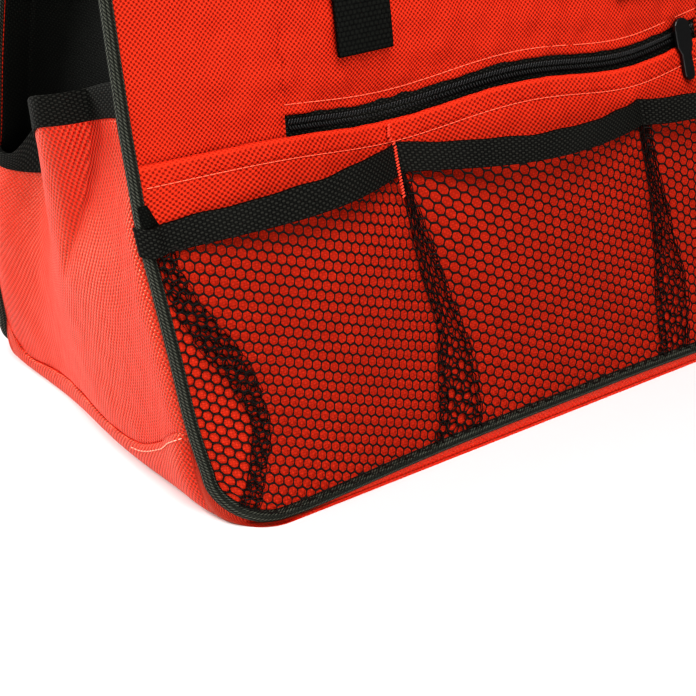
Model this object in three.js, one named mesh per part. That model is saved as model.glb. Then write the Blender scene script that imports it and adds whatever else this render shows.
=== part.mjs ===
// Soft tool bag: gabled body of red woven cloth with black piping, three net pockets and a zip
// pocket on the front, slack pockets on the ends, an open mouth and two webbing handles.
// Millimetres. X runs along the bag, the front faces -Y, +Z is up, and the origin is the middle
// of the base, on the surface that the bag stands on.
import * as THREE from 'three';
import { ParametricGeometry } from 'three/addons/geometries/ParametricGeometry.js';
import { mergeGeometries, mergeVertices } from 'three/addons/utils/BufferGeometryUtils.js';

// Cloth and gaps
const CLOTH = 1.6;
const GAP = 0.45;
const SEAM = 3.3; // from the middle of the piping to the edge of a panel

// Body sections: half depth at the middle and at the piping, half length, and how square the
// plan of the front is at that height
const RIM = 238;
const SECTIONS = [
  { z: 0, middle: 118, edge: 105, half: 193, square: 10 },
  { z: 10, middle: 116, edge: 102, half: 195, square: 10 },
  { z: 26, middle: 111, edge: 97, half: 198, square: 8 },
  { z: 50, middle: 103.5, edge: 92, half: 202, square: 5 },
  { z: 80, middle: 95, edge: 86.5, half: 205, square: 3.5 },
  { z: 104, middle: 88, edge: 79.5, half: 206.5, square: 3 },
  { z: 125, middle: 81, edge: 71.5, half: 207, square: 2.6 },
  { z: 138, middle: 76, edge: 67, half: 207, square: 2.4 },
  { z: 153, middle: 70, edge: 63.5, half: 207, square: 2.4 },
  { z: 179, middle: 62.5, edge: 57.5, half: 207, square: 2.4 },
  { z: 245, middle: 48, edge: 42, half: 205, square: 2.4 },
];
// Places where the front is pressed in, with the size of each dent
const DENTS = [
  { x: -75, z: 146, deep: 9, wide: 50, tall: 30 },
];

// Outline of the front: the piping's line
const PIPING_RADIUS = 2.7;
const CORNER = { top: 26, wide: 26, tall: 21 };
const BOTTOM_RISE = 5; // the bottom piping rises this much from the corners to the middle

// Front pockets and zip
const FOLD = 158.5;
const FOLD_DIP = { deep: 7.5, wide: 50 }; // how far the pocket divisions pull the fold down
const FOLD_EASE = { from: 1, to: 18 }; // heights above the fold where the upper panel comes forward
// Heights of the zip are given from the fold
const ZIP = {
  half: 130,
  low: -10,
  slot: 8,
  high: 16,
  coil: 3.5,
  coilHalf: 3,
  coilProud: 2.4,
  coilSlope: 0.4,
  shoulder: 0.8,
  tape: 1.2,
};
const DIVIDER = 73;
const NET = 1.2;
const SEWN = 0.4; // half of the line where two pockets are sewn down
const NET_FOOT = 12; // height below which the net lies on the panel
const POCKET_GAP = 0.7; // from the front to the back of a net or of the tape, where it is sewn
// The tape rises by this much where a pocket stands off most, and its top leans out by this share
const TAPE = { tall: 14.5, thick: 2.4, rise: 3, lean: 0.25 };
const TAPE_TOPS = [
  { x: -204, top: 134 },
  { x: -DIVIDER, top: 142.5 },
  { x: DIVIDER, top: 136.5 },
  { x: 204, top: 134 },
];
// Pockets: their ends, how far they stand off at most, and the share of the length where they do
const POCKETS = [
  { name: 'left', from: -204, to: -DIVIDER, bulge: 12, peak: 0.66 },
  { name: 'middle', from: -DIVIDER, to: DIVIDER, bulge: 14, peak: 0.5 },
  { name: 'right', from: DIVIDER, to: 204, bulge: 12, peak: 0.34 },
];
const BULGE = { round: 0.9, climb: 1.2 }; // how full a pocket is along its length and its height

// End pockets: where the ridge, the valley and the far fold lie, as a share of the half depth,
// and how far each stands out from the line between the two pipings
const END_FOLDS = [
  { z: 8, ridgeAt: -0.26, ridge: 4, valleyAt: 0.45, valley: -1, foldAt: 0.85, fold: 0 },
  { z: 22, ridgeAt: -0.24, ridge: 6, valleyAt: 0.5, valley: -2, foldAt: 0.86, fold: 0 },
  { z: 45, ridgeAt: -0.08, ridge: 5, valleyAt: 0.58, valley: -6, foldAt: 0.88, fold: -1 },
  { z: 76, ridgeAt: 0, ridge: 6, valleyAt: 0.6, valley: -9, foldAt: 0.88, fold: -2 },
  { z: 97, ridgeAt: 0, ridge: 7, valleyAt: 0.6, valley: -11, foldAt: 0.88, fold: -2.5 },
  { z: 127, ridgeAt: -0.02, ridge: 10, valleyAt: 0.52, valley: -12, foldAt: 0.88, fold: -3 },
  { z: 168, ridgeAt: -0.18, ridge: 18, valleyAt: 0.42, valley: -10, foldAt: 0.88, fold: -3 },
  { z: 195, ridgeAt: -0.2, ridge: 20, valleyAt: 0.4, valley: -9, foldAt: 0.88, fold: -3 },
];
// Lower and upper edge of the end pocket's cloth from the front piping (-1) to the back one (1)
const END_EDGES = [
  { at: -1, seam: 40, rim: 178 },
  { at: -0.72, seam: 30, rim: 174 },
  { at: -0.46, seam: 20, rim: 169 },
  { at: -0.18, seam: 18, rim: 164 },
  { at: 0.1, seam: 17.5, rim: 147 },
  { at: 0.35, seam: 16, rim: 126 },
  { at: 0.6, seam: 12, rim: 119 },
  { at: 0.82, seam: 11, rim: 119 },
  { at: 1, seam: 27, rim: 124 },
];
// Slanting dent beside the ridge: it moves this far across for each millimetre down
const END_DENT = { at: -0.58, z: 158, deep: 8, wide: 0.17, tall: 40, lean: 0.009 };
const END_TAPE = { tall: 15, thick: 2.4, proud: 0.4 };
// The end wall narrows towards its lower corners and beside the tucked panel at the zip
const END_WALL = { inset: 17, bow: 12, foot: 2.2, corner: 6 };
const END_WALL_EASE = { cornerLow: 8, cornerHigh: 70, tuckNear: 12, tuckFar: 34 };

// Base
const BASE = { halfLong: 190, halfDeep: 116, corner: 26 };

// Rim tapes, handles and zip slider
const RIM_TAPE = { tall: 11, thick: 3, proud: 0.7 };
const HANDLE = {
  foot: 186,
  spread: 85,
  wide: 30,
  thick: 3,
  top: 326,
  turn: 250,
  lean: 0.12,
  easeFrom: 26,
  easeTo: 4,
};
const SLIDER = {
  x: 112,
  body: 10,
  shoulder: 9,
  neck: 4,
  tab: 6,
  tabEnd: 14,
  thick: 2.4,
  bevel: 0.4,
  lean: 0.36,
};

const RED = 0xe8361f;
const BLACK = 0x232422;
const DARK = 0x151615;

// Value of one column of a table at a key, on a smooth curve through the rows
function along(rows, key, column, at) {
  const last = rows.length - 1;
  let row = 0;
  while (row < last - 1 && rows[row + 1][key] < at) row += 1;
  const slope = (i) => {
    const before = rows[Math.max(i - 1, 0)];
    const after = rows[Math.min(i + 1, last)];
    return (after[column] - before[column]) / (after[key] - before[key]);
  };
  const [a, b] = [rows[row], rows[row + 1]];
  const step = b[key] - a[key];
  const t = THREE.MathUtils.clamp((at - a[key]) / step, 0, 1);
  const t2 = t * t;
  const t3 = t2 * t;
  return (2 * t3 - 3 * t2 + 1) * a[column] + (t3 - 2 * t2 + t) * step * slope(row)
    + (3 * t2 - 2 * t3) * b[column] + (t3 - t2) * step * slope(row + 1);
}

const section = (z, column) => along(SECTIONS, 'z', column, z);
const halfLength = (z) => section(z, 'half');
const mix = THREE.MathUtils.lerp;
const ease = (value, low, high) => THREE.MathUtils.smoothstep(value, low, high);
const hump = (value, wide) => Math.exp(-((value / wide) ** 2));

// Distance of the front (or back) from the middle plane
function halfDepth(x, z) {
  const share = Math.min(Math.abs(x) / halfLength(z), 1);
  const edge = section(z, 'edge');
  return edge + (section(z, 'middle') - edge) * (1 - share ** section(z, 'square'));
}

// Y of the front's outer face, dents included
function frontY(x, z) {
  const dented = DENTS.reduce(
    (sum, dent) => sum + dent.deep * hump(x - dent.x, dent.wide) * hump(z - dent.z, dent.tall), 0);
  const share = Math.min(Math.abs(x) / halfLength(z), 1);
  return dented * (1 - share ** 4) - halfDepth(x, z);
}

// Y of the back's outer face
const backY = (x, z) => halfDepth(x, z);

// Height of the bottom piping along the bag, above its height at the corners
function bottomLift(x) {
  const share = Math.min(Math.abs(x) / (halfLength(CORNER.top) - CORNER.wide), 1);
  return BOTTOM_RISE * (1 - share ** 3);
}

// Point of the front's outline drawn in by an inset, for a turn from the side (0) to the bottom (1)
function cornerPoint(turn, inset) {
  const angle = turn * Math.PI / 2;
  const x = halfLength(CORNER.top) - CORNER.wide + (CORNER.wide - inset) * Math.cos(angle);
  return { x, z: CORNER.top - (CORNER.tall - inset) * Math.sin(angle) };
}

// Panel coordinates for u from left to right and v from the bottom edge to a top height
const CORNER_SHARE = 0.35; // share of v that is spent on the rounded corners
function panelPoint(u, v, inset, top) {
  if (v < CORNER_SHARE) {
    const climb = v / CORNER_SHARE;
    const corner = cornerPoint(1 - climb, inset);
    const x = (2 * u - 1) * corner.x;
    return { x, z: corner.z + bottomLift(x) * (1 - climb) };
  }
  const z = mix(CORNER.top, top, (v - CORNER_SHARE) / (1 - CORNER_SHARE));
  return { x: (2 * u - 1) * (halfLength(z) - inset), z };
}

// Closed body from point(u, v, w), with w running through its thickness; a ring closes on itself
// in u
function body(point, acrossSteps, alongSteps, ring = false) {
  const place = (u, v, w, target) => target.copy(point(ring ? u % 1 : u, v, w));
  const face = (at, a, b) => new ParametricGeometry(at, a, b);
  const faces = [
    face((u, v, t) => place(u, v, 1, t), acrossSteps, alongSteps),
    face((v, u, t) => place(u, v, 0, t), alongSteps, acrossSteps),
    face((w, u, t) => place(u, 1, w, t), 1, acrossSteps),
    face((u, w, t) => place(u, 0, w, t), acrossSteps, 1),
  ];
  if (!ring) {
    faces.push(face((v, w, t) => place(1, v, w, t), alongSteps, 1));
    faces.push(face((w, v, t) => place(0, v, w, t), 1, alongSteps));
  }
  return closed(mergeGeometries(faces));
}

// Welds a geometry's points, drops flat triangles and turns the faces outwards
function closed(geometry) {
  geometry.deleteAttribute('normal');
  geometry.deleteAttribute('uv');
  const welded = mergeVertices(geometry, 1e-3);
  const position = welded.getAttribute('position');
  const corner = (i) => new THREE.Vector3().fromBufferAttribute(position, i);
  const kept = [];
  let volume = 0;
  const index = welded.getIndex();
  for (let i = 0; i < index.count; i += 3) {
    const [a, b, c] = [index.getX(i), index.getX(i + 1), index.getX(i + 2)];
    if (a !== b && b !== c && c !== a) {
      kept.push([a, b, c]);
      volume += corner(a).dot(corner(b).cross(corner(c)));
    }
  }
  welded.setIndex(kept.flatMap(([a, b, c]) => (volume > 0 ? [a, b, c] : [a, c, b])));
  welded.computeVertexNormals();
  return welded;
}

const bag = new THREE.Group();

function add(name, geometry, color, roughness = 0.85) {
  const material = new THREE.MeshStandardMaterial({ color, roughness, metalness: 0 });
  const mesh = new THREE.Mesh(geometry, material);
  mesh.name = name;
  bag.add(mesh);
}

const vector = (x, y, z) => new THREE.Vector3(x, y, z);

// Height of the folded edge along the front, lowest at the pocket divisions
function foldTop(x) {
  const { deep, wide } = FOLD_DIP;
  return FOLD - deep * (hump(x + DIVIDER, wide) + hump(x - DIVIDER, wide));
}

// Lower front panel, up to the folded edge at the zip
add('front_panel', body((u, v, w) => {
  const top = foldTop((2 * u - 1) * (halfLength(FOLD) - SEAM));
  const { x, z } = panelPoint(u, v, SEAM, top);
  return vector(x, frontY(x, z) + w * CLOTH, z);
}, 18, 12), RED);

// Upper front panel: it hangs behind the fold beside the zip, and is notched over the zip
const TUCK = CLOTH + 3 * GAP; // depth of the upper panel behind the fold
const upperDepth = (x, z) =>
  mix(TUCK, GAP, ease(z - foldTop(x), FOLD_EASE.from, FOLD_EASE.to));
function upperPanel(u, v, w) {
  const zipEnd = ZIP.half / (halfLength(FOLD) - SEAM);
  const share = 2 * u - 1;
  const overZip = Math.abs(share) < zipEnd + 1e-6;
  const edge = foldTop(share * (halfLength(FOLD) - SEAM)) + (overZip ? ZIP.slot : ZIP.low);
  const z = mix(edge, RIM, v);
  const x = share * (halfLength(z) - SEAM);
  return vector(x, frontY(x, z) + upperDepth(x, z) + w * CLOTH, z);
}
const UPPER_STEPS = 22;
const SIDE_LINES = 3; // steps from the notch's side to the piping
const NOTCH_STEP = 0.006; // share of the half length taken by the notch's side
add('front_upper_panel', body((u, v, w) => upperPanel(zipSpaced(u), v, w), UPPER_STEPS, 6), RED);

// Moves the two grid lines nearest to the zip's ends onto them, with the notch's side just outside
function zipSpaced(u) {
  const zipEnd = ZIP.half / (halfLength(FOLD) - SEAM);
  const line = Math.round(u * UPPER_STEPS);
  const last = UPPER_STEPS / 2;
  const inner = last - SIDE_LINES - 1;
  const place = Math.abs(line - last);
  const side = Math.sign(line - last);
  const beside = zipEnd + NOTCH_STEP;
  const outwards = place <= inner
    ? zipEnd * place / inner
    : mix(beside, 1, (place - inner - 1) / SIDE_LINES);
  return (1 + side * outwards) / 2;
}

// Rows of the zip's section: height from the middle of the coil, and share of the coil's height
const ZIP_ROWS = [
  { up: ZIP.low + 1 - ZIP.coil, share: 0 },
  { up: -ZIP.coilHalf, share: 0 },
  { up: ZIP.coilSlope - ZIP.coilHalf, share: ZIP.shoulder },
  { up: 0, share: 1 },
  { up: ZIP.coilHalf - ZIP.coilSlope, share: ZIP.shoulder },
  { up: ZIP.coilHalf, share: 0 },
  { up: ZIP.high - ZIP.coil, share: 0 },
];
// Front zip: tape with a raised coil, behind the slot between the two front panels
add('front_zip', body((u, v, w) => {
  const x = (2 * u - 1) * (ZIP.half - GAP);
  const row = ZIP_ROWS[Math.round(v * (ZIP_ROWS.length - 1))];
  const z = foldTop(x) + ZIP.coil + row.up;
  const proud = ZIP.coilProud * row.share;
  const back = TUCK + CLOTH + GAP;
  return vector(x, frontY(x, z) + mix(back - proud, back + ZIP.tape, w), z);
}, 12, ZIP_ROWS.length - 1), BLACK, 0.6);

// Zip slider: a plain body and tab in one, hanging on the fold at the closed end of the zip
function sliderOutline() {
  const outline = new THREE.Shape();
  const halfBody = SLIDER.body / 2;
  const halfTab = SLIDER.tab / 2;
  outline.moveTo(-halfBody, 0);
  outline.lineTo(-halfBody, SLIDER.shoulder);
  outline.absarc(0, SLIDER.shoulder, halfBody, Math.PI, 0, true);
  outline.lineTo(halfBody, 0);
  outline.lineTo(halfTab, -SLIDER.neck);
  outline.lineTo(halfTab, -SLIDER.tabEnd);
  outline.absarc(0, -SLIDER.tabEnd, halfTab, 0, -Math.PI, true);
  outline.lineTo(-halfTab, -SLIDER.neck);
  return outline;
}
const sliderGeometry = closed(new THREE.ExtrudeGeometry(sliderOutline(), {
  depth: SLIDER.thick - 2 * SLIDER.bevel,
  bevelEnabled: true,
  bevelThickness: SLIDER.bevel,
  bevelSize: SLIDER.bevel,
  bevelSegments: 1,
  curveSegments: 4,
}));
sliderGeometry.rotateX(Math.PI / 2 - SLIDER.lean);
const sliderZ = foldTop(SLIDER.x);
sliderGeometry.translate(SLIDER.x, frontY(SLIDER.x, sliderZ) - 2 * GAP - SLIDER.bevel, sliderZ);
add('zip_slider', sliderGeometry, BLACK, 0.45);

// Pocket at a place along the front, and how full it is there, from 0 where it is sewn to 1
function pocketAt(x) {
  return POCKETS.find((pocket) => x <= pocket.to) ?? POCKETS[POCKETS.length - 1];
}
function fullness(x) {
  const { from, to, peak } = pocketAt(x);
  const share = THREE.MathUtils.clamp((x - from) / (to - from), 0, 1);
  return Math.sin(Math.PI * share ** (Math.log(0.5) / Math.log(peak)));
}

// Top of the pocket tape along the front, rising a little where a pocket is full
function tapeTop(x) {
  const right = Math.max(1, TAPE_TOPS.findIndex((row) => x <= row.x));
  const [a, b] = [TAPE_TOPS[right - 1], TAPE_TOPS[right]];
  return mix(a.top, b.top, (x - a.x) / (b.x - a.x)) + TAPE.rise * fullness(x);
}

// How far a pocket stands off the front: most near the middle of its top, nothing where it is sewn
function pocketBulge(x, rise) {
  return pocketAt(x).bulge * Math.max(fullness(x), 0) ** BULGE.round * rise ** BULGE.climb;
}

// Net pockets, as thin sheets from the bottom piping to the tape
for (const pocket of POCKETS) {
  add(`mesh_pocket_${pocket.name}`, body((u, v, w) => {
    const outline = panelPoint(1, v, SEAM + GAP, TAPE_TOPS[0].top - TAPE.tall);
    const low = Math.max(pocket.from + SEWN, -outline.x);
    const high = Math.min(pocket.to - SEWN, outline.x);
    const x = mix(low, high, u);
    const top = tapeTop(x) - TAPE.tall - GAP;
    const climb = v / CORNER_SHARE;
    const foot = climb < 1 ? outline.z + bottomLift(x) * (1 - climb) : CORNER.top;
    const z = mix(foot, top, Math.max(v - CORNER_SHARE, 0) / (1 - CORNER_SHARE));
    const rise = THREE.MathUtils.clamp((z - NET_FOOT) / (top - NET_FOOT), 0, 1);
    const off = POCKET_GAP + pocketBulge(x, rise);
    return vector(x, frontY(x, z) - off - w * NET, z);
  }, 10, 10), BLACK);
}

// Pocket tape: one strip over the three pockets
add('pocket_binding', body((u, v, w) => {
  const reach = POCKETS[2].to - SEWN;
  const x = (2 * u - 1) * reach;
  const z = tapeTop(x) - TAPE.tall * (1 - v);
  const off = POCKET_GAP + pocketBulge(x, 1 + TAPE.lean * v);
  return vector(x, frontY(x, z) - off - w * TAPE.thick, z);
}, 36, 2), BLACK);

// Back panel, one plain sheet
add('back_panel', body((u, v, w) => {
  const { x, z } = panelPoint(u, v, SEAM, RIM);
  return vector(x, backY(x, z) - w * CLOTH, z);
}, 10, 13), RED);

// Piping: down one side, round the corners and along the bottom
const CORNER_STEPS = 6;
const SIDE_STEPS = 10;
const BOTTOM_STEPS = 12;
function pipingLine(yAt) {
  const side = [];
  for (let i = 0; i < SIDE_STEPS; i += 1) {
    const z = mix(RIM, CORNER.top, i / SIDE_STEPS);
    side.push({ x: halfLength(z), z });
  }
  for (let i = 0; i <= CORNER_STEPS; i += 1) side.push(cornerPoint(i / CORNER_STEPS, 0));
  const end = side[side.length - 1].x;
  const bottom = [];
  for (let i = 1; i < BOTTOM_STEPS; i += 1) {
    const x = mix(-end, end, i / BOTTOM_STEPS);
    bottom.push({ x, z: CORNER.top - CORNER.tall + bottomLift(x) });
  }
  const left = side.map(({ x, z }) => ({ x: -x, z }));
  const line = [...left, ...bottom, ...side.reverse()];
  return new THREE.CatmullRomCurve3(line.map(({ x, z }) => vector(x, yAt(x, z), z)));
}
function tube(path, radius, sides, steps) {
  const circle = new THREE.Shape();
  for (let i = 0; i < sides; i += 1) {
    const angle = 2 * Math.PI * i / sides;
    const corner = [radius * Math.cos(angle), radius * Math.sin(angle)];
    if (i === 0) circle.moveTo(...corner);
    else circle.lineTo(...corner);
  }
  return closed(new THREE.ExtrudeGeometry(circle, { steps, extrudePath: path, curveSegments: 1 }));
}
const PIPING_STEPS = 90;
add('piping_front', tube(pipingLine(frontY), PIPING_RADIUS, 7, PIPING_STEPS), BLACK);
add('piping_back', tube(pipingLine(backY), PIPING_RADIUS, 7, PIPING_STEPS), BLACK);

// How far the end cloth stands out, across the bag (-1 front piping, 1 back piping) at a height
function endOut(at, z) {
  const fold = (column) => along(END_FOLDS, 'z', column, z);
  const profile = [
    { at: -1, out: 0 },
    { at: fold('ridgeAt'), out: fold('ridge') },
    { at: fold('valleyAt'), out: fold('valley') },
    { at: fold('foldAt'), out: fold('fold') },
    { at: 1, out: 0 },
  ];
  const middle = END_DENT.at + END_DENT.lean * (END_DENT.z - z);
  const dent = END_DENT.deep * hump(at - middle, END_DENT.wide) * hump(z - END_DENT.z, END_DENT.tall);
  return along(profile, 'at', 'out', at) - dent;
}
const endEdge = (at, column) => along(END_EDGES, 'at', column, at);

// Point of the left end's outer face, a depth inside it
function endPoint(at, z, depth) {
  const reach = section(z, 'edge') - SEAM;
  return vector(-(halfLength(z) + endOut(at, z) - depth), at * reach, z);
}

const END_STEPS = 18;
const SIDES = [
  { name: 'left', mirror: 1 },
  { name: 'right', mirror: -1 },
];
for (const { name, mirror } of SIDES) {
  const mirrored = (point) => vector(mirror * point.x, point.y, point.z);
  // End pocket, from the seam on the base to its drooping rim
  add(`end_pocket_${name}`, body((u, v, w) => {
    const at = 2 * u - 1;
    const z = mix(endEdge(at, 'seam') + 2 * GAP, endEdge(at, 'rim'), v);
    return mirrored(endPoint(at, z, w * CLOTH));
  }, END_STEPS, 8), RED);
  // Tape along the rim of the end pocket
  add(`end_binding_${name}`, body((u, v, w) => {
    const at = 2 * u - 1;
    const z = endEdge(at, 'rim') + GAP + END_TAPE.tall * v;
    return mirrored(endPoint(at, z, w * END_TAPE.thick - END_TAPE.proud));
  }, END_STEPS, 2), BLACK);
  // End wall behind the pocket
  add(`end_wall_${name}`, body((u, v, w) => {
    const at = 2 * u - 1;
    const z = mix(END_WALL.foot, RIM, v);
    const x = halfLength(z) - END_WALL.inset - END_WALL.bow * (z / RIM) ** 2 * (1 - at * at);
    const { cornerLow, cornerHigh, tuckNear, tuckFar } = END_WALL_EASE;
    const tucked = TUCK * (1 - ease(Math.abs(z - FOLD), tuckNear, tuckFar));
    const cornered = END_WALL.corner * (1 - ease(z, cornerLow, cornerHigh));
    const reach = halfDepth(x, z) - CLOTH - 2 * GAP - cornered - (at < 0 ? tucked : 0);
    return vector(-mirror * (x - w * CLOTH), at * reach, z);
  }, 6, 10), DARK);
  // Tape on the top edge of the end wall
  add(`rim_tape_${name}`, body((u, v, w) => {
    const at = 2 * u - 1;
    const z = RIM + GAP + RIM_TAPE.tall * v;
    const x = halfLength(RIM) - END_WALL.inset - END_WALL.bow * (1 - at * at);
    const reach = halfDepth(x, RIM) - 2 * RIM_TAPE.thick;
    return vector(-mirror * (x + RIM_TAPE.proud - w * RIM_TAPE.thick), at * reach, z);
  }, 8, 1), BLACK);
}

// Y of the upper front panel's outer face, well above the fold
const upperY = (x, z) => frontY(x, z) + GAP;

// Tapes on the top edges of the front and the back
const RIM_FACES = [
  { name: 'rim_tape_front', yAt: upperY, inwards: 1 },
  { name: 'rim_tape_back', yAt: backY, inwards: -1 },
];
for (const { name, yAt, inwards } of RIM_FACES) {
  add(name, body((u, v, w) => {
    const z = RIM + GAP + RIM_TAPE.tall * v;
    const x = (2 * u - 1) * (halfLength(RIM) - SEAM);
    return vector(x, yAt(x, RIM) + inwards * (w * RIM_TAPE.thick - RIM_TAPE.proud), z);
  }, 14, 1), BLACK);
}

// Base: floor plate with sides that turn up to the pipings and to the end seams.
// The ring runs from the middle of the front over the right end, the back and the left end.
const QUARTER_STEPS = { straight: 3, corner: 5, end: END_STEPS / 2 };
const QUARTER = QUARTER_STEPS.straight + QUARTER_STEPS.corner + QUARTER_STEPS.end;
// Floor outline and upper edge of the base at one step of the quarter between the middle of a
// long side (0) and the middle of an end; facing is -1 for the front half and 1 for the back half
function baseQuarter(step, facing) {
  const { halfLong, halfDeep, corner } = BASE;
  const { straight, corner: corners } = QUARTER_STEPS;
  const yAt = facing < 0 ? frontY : backY;
  const startX = halfLength(CORNER.top) - CORNER.wide;
  if (step <= straight) {
    const x = startX * step / straight;
    const z = CORNER.top - CORNER.tall - SEAM + bottomLift(x);
    const floor = vector((halfLong - corner) * step / straight, facing * halfDeep, 0);
    return { floor, edge: vector(x, yAt(x, z), z) };
  }
  const seamAt = facing;
  const seamZ = endEdge(seamAt, 'seam');
  if (step <= straight + corners) {
    const turn = (step - straight) / corners;
    const angle = turn * Math.PI / 2;
    const floorX = halfLong - corner * (1 - Math.sin(angle));
    const floorY = facing * (halfDeep - corner * (1 - Math.cos(angle)));
    const floor = vector(floorX, floorY, 0);
    const outline = cornerPoint(1 - turn, -SEAM - GAP);
    const lift = Math.max(seamZ - CORNER.top, 0) * turn ** 3;
    const z = outline.z + lift;
    const x = outline.x + (halfLength(seamZ) - halfLength(CORNER.top) - SEAM) * turn ** 3;
    const y = yAt(x, z) - facing * SEAM * turn;
    return { floor, edge: vector(x, y, z) };
  }
  const share = (step - straight - corners) / QUARTER_STEPS.end;
  const at = mix(seamAt, 0, share);
  const seam = endEdge(at, 'seam');
  const edge = endPoint(at, seam, 0);
  const floor = vector(halfLong, facing * (halfDeep - corner) * (1 - share), 0);
  return { floor, edge: vector(-edge.x, edge.y, seam) };
}
function baseRing(u) {
  const step = Math.round(u * 4 * QUARTER);
  const quarter = Math.floor(step / QUARTER) % 4;
  const within = step % QUARTER;
  const facing = quarter === 0 || quarter === 3 ? -1 : 1;
  const mirror = quarter < 2 ? 1 : -1;
  const { floor, edge } = baseQuarter(quarter % 2 === 0 ? within : QUARTER - within, facing);
  return {
    floor: vector(mirror * floor.x, floor.y, 0),
    edge: vector(mirror * edge.x, edge.y, edge.z),
  };
}
const FLOOR_SHARE = 0.4; // share of v that is spent on the floor plate
function basePoint(u, v, w) {
  const { floor, edge } = baseRing(u);
  if (v <= FLOOR_SHARE) {
    const point = floor.multiplyScalar(v / FLOOR_SHARE);
    return point.setZ(w * CLOTH);
  }
  const rise = (v - FLOOR_SHARE) / (1 - FLOOR_SHARE) * Math.PI / 2;
  const outwards = Math.sin(rise);
  const outer = floor.clone().lerp(edge, outwards).setZ(edge.z * (1 - Math.cos(rise)));
  const inwards = vector(-floor.x, -floor.y, 0).normalize();
  outer.addScaledVector(inwards, w * CLOTH * outwards);
  return outer.setZ(outer.z + w * CLOTH * Math.cos(rise));
}
add('base_panel', body(basePoint, 4 * QUARTER, 5, true), RED);

// Handles: flat webbing, sewn to the panel at both feet and arching over the mouth
function handlePoint(u, v, w, yAt, facing) {
  const leg = HANDLE.turn - HANDLE.foot;
  const arc = Math.PI / 2 * HANDLE.spread;
  const walk = (2 * u - 1) * (leg + arc);
  const side = Math.sign(walk) || 1;
  const across = (v - 0.5) * HANDLE.wide;
  const beyond = Math.abs(walk) - arc;
  const angle = Math.min(Math.abs(walk) / HANDLE.spread, Math.PI / 2);
  const ring = HANDLE.spread + across;
  const x = side * ring * Math.sin(angle);
  const rise = (HANDLE.top - HANDLE.turn) / HANDLE.spread;
  const z = beyond > 0 ? HANDLE.turn - beyond : HANDLE.turn + rise * ring * Math.cos(angle);
  const off = GAP + RIM_TAPE.proud * ease(z, RIM - HANDLE.easeFrom, RIM - HANDLE.easeTo);
  const sewn = yAt(x, Math.min(z, RIM)) + facing * off;
  const lean = -facing * HANDLE.lean * Math.max(z - RIM - RIM_TAPE.tall - HANDLE.easeTo, 0);
  return vector(x, sewn + lean + facing * w * HANDLE.thick, z);
}
add('handle_front', body((u, v, w) => handlePoint(u, v, w, upperY, -1), 30, 2), BLACK);
add('handle_back', body((u, v, w) => handlePoint(u, v, w, backY, 1), 30, 2), BLACK);

export default bag;
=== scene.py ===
import bpy
import numpy as np
from mathutils import Matrix


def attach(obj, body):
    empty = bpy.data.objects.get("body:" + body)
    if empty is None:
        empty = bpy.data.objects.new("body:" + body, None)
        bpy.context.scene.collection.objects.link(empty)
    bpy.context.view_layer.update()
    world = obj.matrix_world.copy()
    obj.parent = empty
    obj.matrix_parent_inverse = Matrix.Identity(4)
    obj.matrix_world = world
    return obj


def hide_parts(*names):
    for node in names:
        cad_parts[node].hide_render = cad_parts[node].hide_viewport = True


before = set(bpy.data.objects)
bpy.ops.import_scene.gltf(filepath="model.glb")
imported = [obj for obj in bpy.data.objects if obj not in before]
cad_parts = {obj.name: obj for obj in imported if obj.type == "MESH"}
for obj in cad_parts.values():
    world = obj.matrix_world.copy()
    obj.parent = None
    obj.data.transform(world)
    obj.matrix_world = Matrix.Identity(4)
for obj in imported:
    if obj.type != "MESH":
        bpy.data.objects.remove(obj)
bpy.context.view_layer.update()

# Sizes are in millimetres, and flat sizes of sheets in metres.
# X runs along the bag, the front faces -Y and +Z is up.
MM = 0.001
CLOTH, THIN_CLOTH = 1.6, 0.8
GAP = 0.45
SEAM = 3.3
HIDDEN_EDGE = 1.2
RIM, CLOTH_TOP = 238.0, 240.0
FOLD, FOLD_DIP, FOLD_DIP_WIDE = 158.5, 7.5, 50.0
FOLD_HEM, FOLD_ROUND, FOLD_TURN = 9.0, 1.7, 2.1
DIVIDER = 73.0
PIPING_RADIUS = 2.9
CORNER_TOP, CORNER_WIDE, CORNER_TALL = 26.0, 26.0, 22.5
BOTTOM_RISE = 5.7
TUCK = CLOTH + 3 * GAP
ZIP_HALF, ZIP_LOW, ZIP_SLOT, ZIP_HIGH, ZIP_COIL = 127.0, -10.0, 8.0, 16.0, 3.5
ZIP_THICK, ZIP_STITCH = 1.2, 5.0
POCKET_GAP = 0.7
TAPE_TALL, TAPE_THICK, TAPE_LEAN, TAPE_END = 11.8, 2.4, 0.25, 210.6
END_TAPE_TALL, END_TAPE_THICK, END_TAPE_PROUD = 15.0, 2.4, 1.0
END_WALL_INSET, END_WALL_BOW, END_WALL_FOOT, END_WALL_CORNER = 17.0, 12.0, 2.2, 6.0
BASE_LONG, BASE_DEEP, BASE_CORNER = 190.0, 117.5, 22.0
RIM_TAPE_TALL, RIM_TAPE_THICK, RIM_TAPE_PROUD = 11.0, 3.0, 0.7
HANDLE_FOOT, HANDLE_SPREAD, HANDLE_WIDE, HANDLE_THICK = 186.0, 85.0, 30.0, 3.0
HANDLE_TOP, HANDLE_TURN, HANDLE_LEAN = 326.0, 250.0, 0.12
OUTWARDS = np.array([0.0, -0.955, 0.296])


def table(columns, rows):
    """Rows of numbers as one array for each named column; the first column is the key."""
    return dict(zip(columns.split(), np.array(rows, float).T))


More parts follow.
